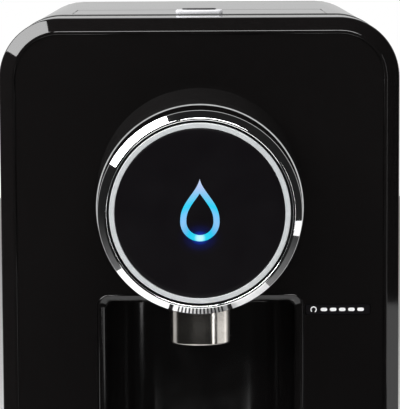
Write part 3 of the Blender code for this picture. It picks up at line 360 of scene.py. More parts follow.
# %% The chamfered frame
CHAMFER, CHAMFER_DEPTH, RIM = 6.5 * MM, 5.0 * MM, 8.1 * MM
FRAME_DEPTH, LEDGE_REACH, LEDGE_FRONT, LEDGE_BACK, TONGUE = 12 * MM, 12 * MM, 3.7 * MM, 6.7 * MM, 3.3 * MM
frame_back = FRONT_Y + FRAME_DEPTH
section = [(0, frame_back), (0, FRONT_Y + CHAMFER_DEPTH), (CHAMFER, FRONT_Y), (RIM, FRONT_Y),
           (RIM, FRONT_Y + LEDGE_FRONT), (LEDGE_REACH, FRONT_Y + LEDGE_FRONT),
           (LEDGE_REACH, FRONT_Y + LEDGE_BACK), (TONGUE, frame_back)]
fillets = np.array([0.25, 1.6, 1.2, 0.35, 0, 0, 0, 0]) * MM
parts = outline_parts()
section = rounded_path(section, fillets, 6)
front_frame = piece("fine_front_frame", around_body(section, parts),
                    quads(len(section), len(parts), True, True), "housing", "front_frame", smooth=30)
front_frame.data.materials.append(gloss_black)
print("frame section", len(section), "points")

# %% [markdown]
# ## The shell
#
# The shell is the same outline carried from front to back, without its bottom, so it is a grid of
# outline by depth. The hole for the filling lid is a block of quads left out of that grid, and the
# grid has lines exactly along the hole's edges, and a second line close beside each, so the flat top
# stays flat when it is shaded smooth. Solidify then gives the skin its thickness inwards.

# %% The wrap-round shell
shell_low, shell_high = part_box("body_shell")
lid_low, lid_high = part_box("fill_lid")
LID_GAP = 0.3 * MM
HOLE_GUARD = 0.15 * MM
SHELL_WALL, SHELL_EDGE = 3 * MM, 0.35 * MM


def shell_outline(steps=28):
    """(x, z) from the right foot over the top to the left foot, with stops at the lid's sides."""
    turn = np.radians(np.linspace(0, 90, steps + 1))
    cx, cz = HALF_W - CORNER_R, TOP_Z - CORNER_R
    right = np.stack([cx + CORNER_R * np.cos(turn), cz + CORNER_R * np.sin(turn)], axis=1)
    near, far = lid_high[0] + LID_GAP, lid_low[0] - LID_GAP
    stops = np.array([[x, TOP_Z] for x in (near + HOLE_GUARD, near, 0, far, far - HOLE_GUARD)])
    left = right[::-1] * [-1, 1]
    foot = np.array([[HALF_W, shell_low[2]]])
    return np.concatenate([foot, right, stops, left, foot * [-1, 1]]), steps + 3


outline, hole_start = shell_outline()
front_edge = shell_low[1] + SHELL_EDGE * np.array([0, 0.3, 1, 1.6])
back_edge = shell_high[1] - SHELL_EDGE * np.array([1.6, 1, 0.3, 0])
hole_y = [lid_low[1] - LID_GAP - HOLE_GUARD, lid_low[1] - LID_GAP, lid_high[1] + LID_GAP,
          lid_high[1] + LID_GAP + HOLE_GUARD]
depth = np.concatenate([front_edge, hole_y, back_edge])
tuck = np.array([1, 0.3, 0, 0, 0, 0, 0, 0, 0, 0, 0.3, 1]) * SHELL_EDGE
normal = np.gradient(outline, axis=0)
normal = np.stack([normal[:, 1], -normal[:, 0]], axis=1)
normal /= np.linalg.norm(normal, axis=1, keepdims=True)
flat = outline[None] - normal[None] * tuck[:, None, None]
points = np.stack([flat[..., 0], np.broadcast_to(depth[:, None], flat.shape[:2]), flat[..., 1]], axis=-1)
keep = np.ones((len(depth) - 1, len(outline) - 1), bool)
hole_row = len(front_edge) + 1
keep[hole_row, hole_start:hole_start + 2] = False
shell = piece("fine_body_shell", points, quads(len(depth), len(outline), keep=keep), "housing", "body_shell",
              smooth=30, flip=True)
shell.data.materials.append(gloss_black)
wall = shell.modifiers.new("wall", "SOLIDIFY")
wall.thickness = SHELL_WALL
wall.offset = -1
print("shell grid", points.shape[:2])

# %% [markdown]
# A dark gasket shows as a thin line across the top, where the front moulding is sprung into the
# shell. It stands a little proud on the top and sinks out of sight round the corners, so its height
# follows how much each place of the outline faces upwards.

# %% The gasket line
GASKET_Y, GASKET_W, GASKET_H, GASKET_SUNK = FRONT_Y + 44 * MM, 1.4 * MM, 0.42 * MM, 0.4 * MM
START_UP = 0.55     # how far the outline faces up where the gasket comes out of the shell
bend = np.radians(np.linspace(0, 180, 9))
upper = parts[parts[:, 4] > -1e-6]
proud = GASKET_H * np.clip((upper[:, 4] - START_UP) / (1 - START_UP), 0, 1) ** 2
rows = []
for turn in bend:
    inset = GASKET_SUNK - (GASKET_SUNK + proud) * math.sin(turn) ** 0.5
    reach = upper[:, 2] - inset
    y = np.full(len(upper), GASKET_Y + GASKET_W * (1 - math.cos(turn)) / 2)
    rows.append(np.stack([upper[:, 0] + reach * upper[:, 3], y, upper[:, 1] + reach * upper[:, 4]], axis=1))
rows = np.array(rows)
ends = [np.repeat(rows[:, at].mean(axis=0)[None], len(rows), axis=0)[:, None] for at in (0, -1)]
gasket = piece("joint_gasket", np.concatenate([ends[0], rows, ends[1]], axis=1),
               quads(len(rows), len(upper) + 2, close_rows=True), "housing")
merge(gasket)
gasket.data.materials.append(rubber)
print("gasket", rows.shape[:2])



# %% [markdown]
# ## The filling lid and its finger tab
#
# The lid lies flush in the top, with a rounded back edge that it turns on. Its edges are barely
# broken, so a thin dark line shows where it meets the shell. The lid is its side profile carried
# across and drawn in a little at both ends. The tab is a small pale plate with a dark strip on it,
# which is painted shade standing for the shadow in the tab's finger slot.

# %% The lid
def slab(name, x, y, z, corner, edge, body, *stands_for, steps=8, smooth=40):
    """A plate with round corners seen from above and a small round edge at top and bottom.

    The outline is a rounded rectangle; each row of the grid is that outline stepped in by
    edge * (1 - cos t) at a height edge * (1 - sin t) from a face, closed by a middle point.
    """
    half_x, half_y = (x[1] - x[0]) / 2, (y[1] - y[0]) / 2
    centre = np.array([(x[0] + x[1]) / 2, (y[0] + y[1]) / 2])
    turn = np.radians(np.linspace(0, 360, 4 * steps, endpoint=False) + 45 / steps)
    sign = np.stack([np.sign(np.cos(turn)), np.sign(np.sin(turn))], axis=1)
    t = np.radians(np.linspace(0, 90, 5))
    guard = edge + min(0.25 * MM, corner / 3)
    inset = np.concatenate([[half_x * 2, guard], edge * (1 - np.sin(t)), edge * (1 - np.cos(t)),
                            [guard, half_x * 2]])
    height = np.concatenate([[z[0]] * 2, z[0] + edge * (1 - np.cos(t)), z[1] - edge * (1 - np.sin(t)),
                             [z[1]] * 2])
    rows = []
    for step_in, at in zip(inset, height):
        if step_in > half_x:
            rows.append(np.broadcast_to([*centre, at], (len(turn), 3)))
            continue
        arms = np.array([half_x - corner, half_y - corner]) * sign
        round_off = (corner - step_in) * np.stack([np.cos(turn), np.sin(turn)], axis=1)
        flat = centre + arms + round_off
        rows.append(np.column_stack([flat, np.full(len(turn), at)]))
    made = piece(name, np.array(rows), quads(len(rows), len(turn), close_columns=True), body, *stands_for,
                 smooth=smooth)
    merge(made)
    return made


LID_R, LID_EDGE = 2 * MM, 0.35 * MM
lid_axis_y, lid_axis_z = lid_high[1] - LID_R, lid_high[2] - LID_R
turn = np.radians(np.linspace(-90, 90, 13))
back = np.stack([lid_axis_y + LID_R * np.cos(turn), lid_axis_z + LID_R * np.sin(turn)], axis=1)
front = rounded_path([(lid_axis_y, lid_high[2]), (lid_low[1], lid_high[2]), (lid_low[1], lid_low[2]),
                      (lid_axis_y, lid_low[2])], [0, LID_EDGE, LID_EDGE, 0], 4, closed=False)
profile = np.concatenate([back[:1] - [LID_EDGE, 0], back, back[-1:] - [LID_EDGE, 0], front[1:-1]])
across = np.array([0, 0, 0.1, 0.3, 0.65, 1, 1.7]) * LID_EDGE
across = np.concatenate([lid_low[0] + across, (lid_high[0] - across)[::-1]])
shrink = np.array([np.nan, 1, 0.56, 0.29, 0.06, 0, 0]) * LID_EDGE
shrink = np.concatenate([shrink, shrink[::-1]])
middle = np.array([(lid_low[1] + lid_high[1]) / 2, lid_axis_z])
size = (profile.max(axis=0) - profile.min(axis=0)) / 2
rows = []
for x, step in zip(across, shrink):
    scale = np.zeros(2) if np.isnan(step) else 1 - step / size
    rows.append(np.column_stack([np.full(len(profile), x), middle + (profile - middle) * scale]))
lid = piece("fine_fill_lid", np.array(rows), quads(len(rows), len(profile), close_columns=True), "lid",
            "fill_lid", smooth=35)
merge(lid)
lid.data.materials.append(gloss_black)

tab_low, tab_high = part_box("lid_tab")
SLOT_SHADE, SLOT_SHADE_HALF_W, SLOT_SHADE_HALF_D, SLOT_SHADE_SEAT = 0.7 * MM, 8.8 * MM, 4.4 * MM, 0.1 * MM
slot_shade_z = tab_high[2] - SLOT_SHADE
tab = slab("fine_lid_tab", (tab_low[0], tab_high[0]), (tab_low[1], tab_high[1]), (tab_low[2], slot_shade_z),
           2.6 * MM, 0.9 * MM, "lid", "lid_tab")
tab.data.materials.append(pale_plastic)
tab_y = (tab_low[1] + tab_high[1]) / 2
# Painted shade: this thin dark strip on the tab stands for the shadow in the tab's finger slot.
slot_shade = slab("tab_slot_shade", (-SLOT_SHADE_HALF_W, SLOT_SHADE_HALF_W), (tab_y - SLOT_SHADE_HALF_D, tab_y + SLOT_SHADE_HALF_D),
            (slot_shade_z - SLOT_SHADE_SEAT, tab_high[2]), 4.3 * MM, 0.08 * MM, "lid")
slot_shade.data.materials.append(soft_black)
print("lid", [round(v, 4) for v in lid_high - lid_low], "tab", [round(v, 4) for v in tab_high - tab_low])


# %% [markdown]
# ## The niche
#
# The glass stands in a niche that is moulded in one piece, with a rolled lip, side walls that sweep
# round on a large radius, and a flat back. The surface is a row of arches, each one a step further
# back: two feet on the floor, two upright sides, and a flat top with round corners. Over the lip
# the arches shrink by a quarter turn; along the sweep only their width shrinks. The last arch
# closes on the middle of the back.

# %% The niche surface
niche_low, niche_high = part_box("alcove_liner")
LIP, WALL, CORNER, CORNER_LOSS, FLAT_HALF = 4.5 * MM, 2.5 * MM, 5.5 * MM, 2.5 * MM, 19.5 * MM
BACK_RING = 0.985           # a ring just inside the back's edge keeps the back flat when shaded
MOUTH_DROP = 138.6 * MM     # top face down to the mouth's top edge
mouth_half = niche_high[0]
mouth_top = TOP_Z - MOUTH_DROP
floor_z = niche_low[2] + WALL
back_y = niche_high[1] - WALL
inner_half = mouth_half - LIP
sweep_r = inner_half - FLAT_HALF

roll = np.radians(np.linspace(0, 90, 13))
sweep = np.radians(np.linspace(0, 90, 33))
depth = np.concatenate([niche_low[1] + LIP * (1 - np.cos(roll)),
                        back_y - sweep_r + sweep_r * np.sin(sweep)])
half = np.concatenate([mouth_half - LIP * np.sin(roll), FLAT_HALF + sweep_r * np.cos(sweep)])
top = np.concatenate([mouth_top - LIP * np.sin(roll), np.full(len(sweep), mouth_top - LIP)])
corner = np.concatenate([CORNER - CORNER_LOSS * np.sin(roll), np.full(len(sweep), CORNER - CORNER_LOSS)])
turn = np.radians(np.linspace(0, 90, 9))[None]
right_x = (half - corner)[:, None] + corner[:, None] * np.cos(turn)
arch_z = (top - corner)[:, None] + corner[:, None] * np.sin(turn)
foot_z = np.full((len(depth), 1), floor_z)
x = np.concatenate([half[:, None], right_x, -right_x[:, ::-1], -half[:, None]], axis=1)
z = np.concatenate([foot_z, arch_z, arch_z[:, ::-1], foot_z], axis=1)
rows = np.stack([x, np.broadcast_to(depth[:, None], x.shape), z], axis=-1)
middle = np.broadcast_to([0, back_y, (floor_z + mouth_top) / 2], (1, x.shape[1], 3))
inner = middle + (rows[-1:] - middle) * BACK_RING
rows = np.concatenate([rows, inner, middle])
niche = piece("fine_niche", rows, quads(len(rows), rows.shape[1], close_columns=True), "housing",
              "alcove_liner", smooth=35, flip=True)
merge(niche)
niche.data.materials.append(niche_black)
wall = niche.modifiers.new("wall", "SOLIDIFY")
wall.thickness = WALL
wall.offset = -1
print("niche", rows.shape[:2])

# %% [markdown]
# ## The head
#
# Everything on the head is turned about one axis, so each part is a section spun round it. The neck
# flares a little towards the panel. The chrome ring has a flat chamfer between its outer edge and a
# narrow lip, and that chamfer is what draws the bright and dark bands round the push face. Each
# corner gets a real radius, because a plated edge is never sharp and its glint is what the eye
# looks for.

# %% Neck, ring and trim
panel = np.array([0.0, FRONT_Y, AXIS_Z])
FORWARD = (0, -1, 0)
neck_low, neck_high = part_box("head_neck")
neck_len = FRONT_Y - neck_low[1]
base_r, end_r, wall_t = neck_high[0], 48.7 * MM, 3 * MM
FOOT_STEP, FOOT_IN, FLARE_POWER = 0.6 * MM, 0.5 * MM, 2.2
t = np.linspace(0, 1, 15)
flare = end_r + (base_r - end_r) * (1 - t) ** FLARE_POWER
outer = np.stack([flare, FOOT_STEP + t * (neck_len - FOOT_STEP)], axis=1)
neck_profile = np.concatenate([[(base_r - FOOT_IN, 0)], outer,
                               [(end_r - wall_t, neck_len), (end_r - wall_t, 0)]])
neck = lathe("fine_head_neck", neck_profile, panel, FORWARD, "housing", "head_neck", sides=192, smooth=30)
neck.data.materials.append(neck_black)

ring_back, ring_front = FRONT_Y - ring_high[1], FRONT_Y - ring_low[1]
EDGE_R, LIP_OUT_R, LIP_R = 47.3 * MM, 44.0 * MM, 42.9 * MM
RING_CHAMFER, LIP_LEN, RING_WALL = 3.6 * MM, 7.2 * MM, 2 * MM
BEAD_LEN, BEAD_END, BEAD_H = 0.3 * MM, 0.8 * MM, 0.32 * MM
ring_corners = [(end_r, ring_back), (end_r, ring_back + BEAD_LEN), (end_r - BEAD_H, ring_back + BEAD_END),
                (EDGE_R, ring_front - RING_CHAMFER), (LIP_OUT_R, ring_front), (LIP_R, ring_front),
                (LIP_R, ring_front - LIP_LEN), (EDGE_R - RING_WALL, ring_front - LIP_LEN),
                (end_r - wall_t, ring_back)]
ring_profile = rounded_path(ring_corners, np.array([0, 0.12, 0.2, 0.9, 0.7, 0.45, 0, 0, 0]) * MM, 8)
ring = lathe("fine_chrome_ring", ring_profile, panel, FORWARD, "housing", "chrome_ring", sides=256,
             smooth=50)
ring.data.materials.append(chrome)

trim_low, trim_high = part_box("button_trim")
TRIM_R, FACE_R = trim_high[0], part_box("button_face")[1][0]
trim_front, trim_back = FRONT_Y - trim_low[1], FRONT_Y - trim_high[1]
trim_in_r = FACE_R + 0.25 * MM
trim_corners = [(TRIM_R, trim_back), (TRIM_R, trim_front), (trim_in_r, trim_front), (trim_in_r, trim_back)]
trim_profile = rounded_path(trim_corners, np.array([0.2, 0.45, 0.3, 0]) * MM, 5)
trim = lathe("fine_button_trim", trim_profile, panel, FORWARD, "button", "button_trim", sides=256)
trim.data.materials.append(silver)
print("neck", round(neck_len, 4), "ring", round(ring_front - ring_back, 4))

# %% [markdown]
# ## The push face and its drop
#
# The face is a satin disc with a water drop let into it, and the drop is a light guide. The disc is
# a grid between two closed curves, the drop outside and the rim, so its inner edge is exactly the
# drop. The guide is a band between an outer and an inner drop, slightly crowned. Both use one
# outline: a round foot, and flanks that sweep up to the tip.

# %% The drop's outline
DROP_LINE = 2.8 * MM
TIP_FALL, TIP_REACH, TIP_SLOPE = 2.3, 0.4 * MM, 1.6
lens_low, lens_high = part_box("drop_lens")
drop_r = (lens_high[0] - lens_low[0]) / 2
drop_z = lens_low[2] + drop_r
drop_rise = lens_high[2] - drop_z


def drop(step_in, count=48):
    """(x, z) round a drop with its foot's circle at (0, drop_z), stepped in by step_in along the normals.

    The foot is a circle of radius R. The flank at height t of the way to the tip has half width
    R (0.78 (1 + cos(pi t^1.2)) / 2 + 0.22 (1 - t^2)). A stepped-in tip comes
    down by TIP_FALL steps, and near it the flanks stay under a slope of TIP_SLOPE.
    """
    foot = np.radians(np.linspace(-90, 0, count // 3))
    t = np.linspace(0, 1, count)[1:]
    width = drop_r * (0.78 * (0.5 + 0.5 * np.cos(np.pi * t ** 1.2)) + 0.22 * (1 - t * t))
    half_line = np.concatenate([np.stack([drop_r * np.cos(foot), drop_r * np.sin(foot)], axis=1),
                                np.stack([width, drop_rise * t], axis=1)])
    run = np.gradient(half_line, axis=0)
    run /= np.linalg.norm(run, axis=1, keepdims=True)
    moved = half_line + step_in * np.stack([-run[:, 1], run[:, 0]], axis=1)
    tip = drop_rise - TIP_FALL * step_in
    moved[0] = (0, step_in - drop_r)
    moved[-1] = (0, tip)
    moved[:, 0] = np.maximum(moved[:, 0], 0)
    moved[:, 1] = np.minimum(moved[:, 1], tip - np.minimum(moved[:, 0], TIP_REACH) * TIP_SLOPE)
    whole = np.concatenate([moved, (moved[1:-1] * [-1, 1])[::-1]])
    return whole + [0, drop_z]


def flat_ring(inner, outer, y, rows=2):
    """A grid at depth y that runs from one closed (x, z) curve to another with as many points."""
    t = np.linspace(0, 1, rows)[:, None, None]
    flat = inner[None] * (1 - t) + outer[None] * t
    return np.stack([flat[..., 0], np.broadcast_to(y, flat.shape[:2]), flat[..., 1]], axis=-1)


# %% The face
count = len(drop(0))
angle = np.arctan2(drop(0)[:, 1] - AXIS_Z, drop(0)[:, 0])
aim = np.unwrap(angle)
even = aim[0] + np.linspace(0, 1, count, endpoint=False) * 2 * math.pi * np.sign(aim[-1] - aim[0])
blend = 0.35 * aim + 0.65 * even
rim = np.stack([np.cos(blend), AXIS_Z / FACE_R + np.sin(blend)], axis=1) * FACE_R
FACE_EDGE, GUIDE_SLACK, GUIDE_SUNK = 0.35 * MM, 0.12 * MM, 0.1 * MM


def drawn_in(step_in):
    """The rim's circle with its radius made smaller by step_in."""
    return (rim - [0, AXIS_Z]) * (1 - step_in / FACE_R) + [0, AXIS_Z]


face_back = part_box("button_face")[1][1]
groove_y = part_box("drop_lens")[1][1]
rows = [flat_ring(drop(-GUIDE_SLACK), drawn_in(FACE_EDGE), FACE_Y, 14)]
for t in np.radians([30, 60, 90]):
    step = drawn_in(FACE_EDGE * (1 - math.sin(t)))
    rows.append(flat_ring(step, step, FACE_Y + FACE_EDGE * (1 - math.cos(t)), 1))
rows.append(flat_ring(rim, rim, face_back, 1))
rows.append(np.broadcast_to([0, face_back, AXIS_Z], (1, count, 3)))
inside = drop(DROP_LINE + GUIDE_SLACK)
outside = drop(-GUIDE_SLACK)
hub = np.mean(inside, axis=0)
groove = [np.broadcast_to([hub[0], FACE_Y, hub[1]], (1, count, 3)), flat_ring(inside, inside, FACE_Y, 1),
          flat_ring(inside, inside, groove_y, 1), flat_ring(outside, outside, groove_y, 1)]
points = np.concatenate(groove + rows)
face = piece("fine_button_face", points, quads(len(points), count, close_columns=True), "button",
             "button_face", smooth=30)
merge(face)
face.data.materials.append(face_black)

# %% The light guide
crown = np.radians(np.linspace(0, 180, 9))
CROWN = 0.25 * MM
lens_back = groove_y - GUIDE_SUNK
rows = [flat_ring(drop(0), drop(0), lens_back, 1)]
for turn in crown:
    step = DROP_LINE * (1 - math.cos(turn)) / 2
    rows.append(flat_ring(drop(step), drop(step), FACE_Y + CROWN * (1 - math.sin(turn)), 1))
rows.append(flat_ring(drop(DROP_LINE), drop(DROP_LINE), lens_back, 1))
points = np.concatenate(rows)
lens = piece("fine_drop_lens", points, quads(len(points), count, close_rows=True, close_columns=True),
             "button", "drop_lens", smooth=60)
merge(lens)
print("drop", count, "points round")


# %% [markdown]
# ## Light in the guide
#
# One lamp sits low behind the drop. The guide is hottest there, cyan to white, and fades to a pale
# periwinkle towards the tip. Round the lamp the black face gets a painted blue glow: the lamp's light
# spilling onto it, given as emission colour. Both are worked out from the distance to the lamp, in
# object coordinates, so they belong to the part and move with it.

# %% Glow materials
def distance_ramp(tree, centre, reach, stops, squash_z=1.0):
    """A colour ramp over the distance from centre, where reach is 1."""
    place = tree.nodes.new("ShaderNodeTexCoord")
    shift = tree.nodes.new("ShaderNodeVectorMath")
    shift.operation = "SUBTRACT"
    shift.inputs[1].default_value = centre
    stretch = tree.nodes.new("ShaderNodeVectorMath")
    stretch.operation = "MULTIPLY"
    stretch.inputs[1].default_value = (1 / reach, 0, squash_z / reach)
    length = tree.nodes.new("ShaderNodeVectorMath")
    length.operation = "LENGTH"
    ramp = tree.nodes.new("ShaderNodeValToRGB")
    tree.links.new(place.outputs["Object"], shift.inputs[0])
    tree.links.new(shift.outputs["Vector"], stretch.inputs[0])
    tree.links.new(stretch.outputs["Vector"], length.inputs[0])
    tree.links.new(length.outputs["Value"], ramp.inputs["Fac"])
    marks = ramp.color_ramp.elements
    marks[0].position, marks[0].color = stops[0][0], (*stops[0][1], 1)
    marks[1].position, marks[1].color = stops[-1][0], (*stops[-1][1], 1)
    for at, colour in stops[1:-1]:
        marks.new(at).color = (*colour, 1)
    return ramp.outputs["Color"]


LAMP_UP, GUIDE_REACH, PAINTED_GLOW_REACH, PAINTED_GLOW_FLAT = 1.6 * MM, 27 * MM, 11 * MM, 1.3
lamp = (0, 0, drop_z - drop_r + LAMP_UP)
guide = finish("glowing light guide", (0.010, 0.015, 0.030), 0.45, wear=0.1, Specular_IOR_Level=0.15)
stops = [(0.0, (0.55, 0.95, 0.99)), (0.05, (0.42, 0.90, 0.97)), (0.10, (0.012, 0.68, 0.86)),
         (0.20, (0.006, 0.56, 0.86)), (0.27, (0.11, 0.49, 0.84)), (0.37, (0.24, 0.54, 0.88)),
         (0.47, (0.18, 0.56, 0.95)), (0.58, (0.004, 0.64, 0.90)), (0.73, (0.20, 0.56, 0.86)),
         (0.87, (0.43, 0.58, 0.87)), (1.0, (0.58, 0.68, 0.87))]
colour = distance_ramp(guide.node_tree, lamp, GUIDE_REACH, stops)
shader = guide.node_tree.nodes["Principled BSDF"]
guide.node_tree.links.new(colour, shader.inputs["Emission Color"])
shader.inputs["Emission Strength"].default_value = 1.0
lens.data.materials.append(guide)

# Painted light: the lamp's blue light spilling onto the face is put into the face's emission, brightest round
# the lamp.
tree = face_black.node_tree
painted_glow = [(0.0, (0.0, 0.12, 0.95)), (0.18, (0.0, 0.03, 0.38)), (0.40, (0.0, 0.003, 0.05)),
        (0.75, (0, 0, 0.004)), (1.0, (0, 0, 0))]
shader = tree.nodes["Principled BSDF"]
tree.links.new(distance_ramp(tree, lamp, PAINTED_GLOW_REACH, painted_glow, PAINTED_GLOW_FLAT), shader.inputs["Emission Color"])
shader.inputs["Emission Strength"].default_value = 1.0

# %% [markdown]
# ## The return springs
#
# A small steel spring behind the push face, and another behind the key, bring them back. A press
# shortens the spring, but here each one is a wound wire of even pitch that fills its node's box, drawn
# at rest for each spring that the record's joints list. The record says which end is fixed and how
# far the joint goes; the wire does not follow it.

# %% Wound wire
def wound_wire(name, node, wire, turns, slot, sides=8, steps=20):
    """A wire of radius wire wound along Y inside a node's box.

    At turn t the wire's middle is (R cos t, y that grows evenly with t, R sin t); round it goes a
    small circle in the plane of the outward direction and Y. A fan closes each end.
    """
    low, high = (np.array(corner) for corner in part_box(node))
    centre, radius = (low + high) / 2, (high[0] - low[0]) / 2 - wire
    t = np.linspace(0, 2 * math.pi * turns, turns * steps + 1)[:, None]
    side = np.linspace(0, 2 * math.pi, sides, endpoint=False)[None]
    reach = radius + wire * np.cos(side)
    y = low[1] + wire + (high[1] - low[1] - 2 * wire) * t / t[-1] + wire * np.sin(side)
    rows = np.stack([centre[0] + reach * np.cos(t), y, centre[2] + reach * np.sin(t)], axis=-1)
    ends = [np.repeat(rows[at].mean(axis=0)[None, None], sides, axis=1) for at in (0, -1)]
    rows = np.concatenate([ends[0], rows, ends[1]])
    made = piece(name, rows, quads(len(rows), sides, close_columns=True), "housing", node)
    merge(made)
    made.data.materials.append(zinc)
    return made


WIRES = {"button_spring": (0.5 * MM, 5), "reset_spring": (0.25 * MM, 4)}     # wire radius and turns
for joint in frame["record"]["behaviour"]["joints"]:
    for held in joint.get("deforming_nodes", []):
        node = held["node"]
        spring = wound_wire("fine_" + node, node, *WIRES[node], "zinc_steel")
        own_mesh(spring)

# %% [markdown]
# ## The nozzle
#
# The nozzle is a brushed steel sleeve. Turning leaves rings round it, which smear reflections up
# and down into the tall bright and dark bands that a brushed tube shows.

# %% The sleeve
sleeve_low, sleeve_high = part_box("nozzle_sleeve")
nozzle_r = (sleeve_high[0] - sleeve_low[0]) / 2
nozzle_y = (sleeve_low[1] + sleeve_high[1]) / 2
SLEEVE_WALL = 1.6 * MM
bore_r = nozzle_r - SLEEVE_WALL
tube = [(nozzle_r, sleeve_low[2]), (nozzle_r, sleeve_high[2]),
        (bore_r, sleeve_high[2]), (bore_r, sleeve_low[2])]
tube = rounded_path(tube, np.array([0.6, 0, 0, 0.5]) * MM, 6)
sleeve = lathe("fine_nozzle_sleeve", tube, np.array([0, nozzle_y, 0]), (0, 0, 1), "housing",
               "nozzle_sleeve", sides=128)
sleeve.data.materials.append(steel)

# %% [markdown]
# ## The reset key
#
# The slim key beside the head is read by its marks alone. They are plain: an open ring for "start
# again", then a row of dashes. Each is a thin printed patch, a hair in front of the key.

# %% Marks on the key
key_low, key_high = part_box("reset_key")
key_x = (key_low[0] + key_high[0]) / 2
key_z = (key_low[2] + key_high[2]) / 2
mark_white = finish("printed white", (0.85, 0.85, 0.85), 0.5, wear=0.1)
INK, MARK_PROUD = 0.03 * MM, 0.02 * MM
MARK_Y = key_low[1] - MARK_PROUD


def mark(name, curve):
    """A thin printed patch from a closed (x, z) curve on the key's front, as two rows and two fans."""
    hub = curve.mean(axis=0)
    count = len(curve)
    points = np.concatenate([np.broadcast_to([hub[0], MARK_Y, hub[1]], (1, count, 3)),
                             flat_ring(curve, curve, MARK_Y, 1), flat_ring(curve, curve, MARK_Y + INK, 1),
                             np.broadcast_to([hub[0], MARK_Y + INK, hub[1]], (1, count, 3))])
    made = piece(name, points, quads(4, count, close_columns=True), "reset")
    merge(made)
    made.data.materials.append(mark_white)
    return made


def dash(centre_x, width, height):
    """(x, z) of a bar with round ends on the key's middle line."""
    turn = np.radians(np.linspace(-90, 90, 7))
    end = height / 2
    right = np.stack([width / 2 - end + end * np.cos(turn), end * np.sin(turn)], axis=1)
    return np.concatenate([right, -right]) + [centre_x, key_z]


DASHES, FIRST_DASH, DASH_PITCH, DASH_W, DASH_H = 5, -7.0 * MM, 4.6 * MM, 3.4 * MM, 1.7 * MM
for number in range(DASHES):
    mark(f"key_dash_{number}", dash(key_x + FIRST_DASH + number * DASH_PITCH, DASH_W, DASH_H))
ARROW_R, ARROW_LINE, ARROW_X = 1.35 * MM, 0.6 * MM, -12.2 * MM
arrow_at = [key_x + ARROW_X, key_z]
turn = np.radians(np.linspace(-60, 230, 25))
circle = np.stack([np.cos(turn), np.sin(turn)], axis=1)
band = flat_ring(circle * (ARROW_R + ARROW_LINE / 2) + arrow_at,
                 circle * (ARROW_R - ARROW_LINE / 2) + arrow_at, MARK_Y, 2)
arrow = piece("key_arrow", band, quads(2, len(turn)), "reset")
arrow.data.materials.append(mark_white)
thick = arrow.modifiers.new("ink", "SOLIDIFY")
thick.thickness = INK
thick.offset = 0
print("marks on the key at", round(key_x, 4), round(key_z, 4))

# %% [markdown]
# ## Table, light and camera
#
# Gloss black shows only what it reflects, so the lighting is mostly about where the bright things
# are. A pale background behind turns the top face light grey, since it is seen at a low angle. The
# room in front is dark, which keeps the panel black. A large box at the upper left makes the white
# arc on the ring and the patch on the frame's corner. One in front and above lights the top of the
# ring and the marks on the key. A strip and a low card at the right light the right half of the
# nozzle and of the ring, and the card the right edge too. Only a patch of table round the machine
# shows in reflections.

# %% Floor
def floor_sheet(name, x, y, z, material):
    """A flat sheet of table from x[0] to x[1] and y[0] to y[1], facing up."""
    mesh = bpy.data.meshes.new(name)
    corners = [(x[0], y[0], z), (x[1], y[0], z), (x[1], y[1], z), (x[0], y[1], z)]
    mesh.from_pydata(corners, [], [(0, 1, 2, 3)])
    mesh.materials.append(material)
    sheet = bpy.data.objects.new(name, mesh)
    bpy.context.scene.collection.objects.link(sheet)
    sheet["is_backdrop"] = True
    return sheet


table = finish("pale table", (0.80, 0.80, 0.80), 0.6, wear=0.1)
floor_sheet("table_near", (-0.40, 0.27), (-1.0, 1.2), 0, table)
far_table = floor_sheet("table_far", (-3, 3), (-3, 3), -0.4 * MM, table)
far_table.visible_glossy = False

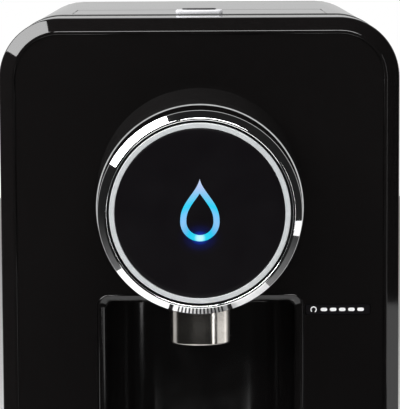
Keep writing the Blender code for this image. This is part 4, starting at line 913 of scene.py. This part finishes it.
# %% World
world = bpy.data.worlds.new("studio")
bpy.context.scene.world = world
world.use_nodes = True
tree = world.node_tree
background = tree.nodes["Background"]
place = tree.nodes.new("ShaderNodeTexCoord")
split = tree.nodes.new("ShaderNodeSeparateXYZ")
tree.links.new(place.outputs["Generated"], split.inputs["Vector"])
to_back = tree.nodes.new("ShaderNodeMapRange")
to_back.interpolation_type = "SMOOTHSTEP"
for socket, value in (("From Min", 0.12), ("From Max", 0.34), ("To Min", 0.016), ("To Max", 0.62)):
    to_back.inputs[socket].default_value = value
tree.links.new(split.outputs["Y"], to_back.inputs["Value"])
seen = tree.nodes.new("ShaderNodeLightPath")
pick = tree.nodes.new("ShaderNodeMix")
tree.links.new(seen.outputs["Is Camera Ray"], pick.inputs["Factor"])
tree.links.new(to_back.outputs["Result"], pick.inputs["A"])
pick.inputs["B"].default_value = 1.0
tree.links.new(pick.outputs["Result"], background.inputs["Strength"])
background.inputs["Color"].default_value = (1, 1, 1, 1)


# %% Soft boxes
def soft_box(name, place, aim, width, height, glow):
    """A rectangular light at place that points at aim; glow is how bright its face looks."""
    light = bpy.data.lights.new(name, "AREA")
    light.shape = "RECTANGLE"
    light.size, light.size_y = width, height
    light.energy = glow * math.pi * width * height
    made = bpy.data.objects.new(name, light)
    made.location = place
    made.rotation_euler = (Vector(aim) - Vector(place)).to_track_quat("-Z", "Y").to_euler()
    bpy.context.scene.collection.objects.link(made)
    return made


head_front = (0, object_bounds()[0][1], AXIS_Z)
soft_box("upper left box", (-0.80, -0.40, AXIS_Z + 0.90), head_front, 1.0, 1.02, 10)
soft_box("front top box", (0.20, -1.35, AXIS_Z + 1.15), head_front, 0.95, 0.55, 12)
soft_box("right strip", (0.95, -0.95, AXIS_Z + 0.05), head_front, 0.14, 0.75, 4)
soft_box("low card", (0.92, -0.15, 0.08), (0, -0.15, 0.08), 0.80, 0.15, 1.2)

# %% Camera
LENS_PX, IMAGE_H, SENSOR = 2517.0, 409.0, 36.0
camera_data = bpy.data.cameras.new("camera")
camera_data.sensor_width = SENSOR
camera_data.lens = LENS_PX / IMAGE_H * SENSOR
camera = bpy.data.objects.new("camera", camera_data)
CAMERA_RIGHT, CAMERA_AHEAD, CAMERA_UP = 0.9 * MM, 1.2508, 44.8 * MM
camera.location = (CAMERA_RIGHT, FRONT_Y - CAMERA_AHEAD, TOP_Z + CAMERA_UP)
pitch, yaw, roll = math.radians(-6.291), math.radians(-0.008), math.radians(0.296)
camera.rotation_euler = (math.radians(90) + pitch, roll, -yaw)
camera_data.clip_end = 20
bpy.context.scene.collection.objects.link(camera)
bpy.context.scene.camera = camera
bpy.context.scene.view_settings.view_transform = "Standard"

# %% Hand over
bpy.context.view_layer.update()
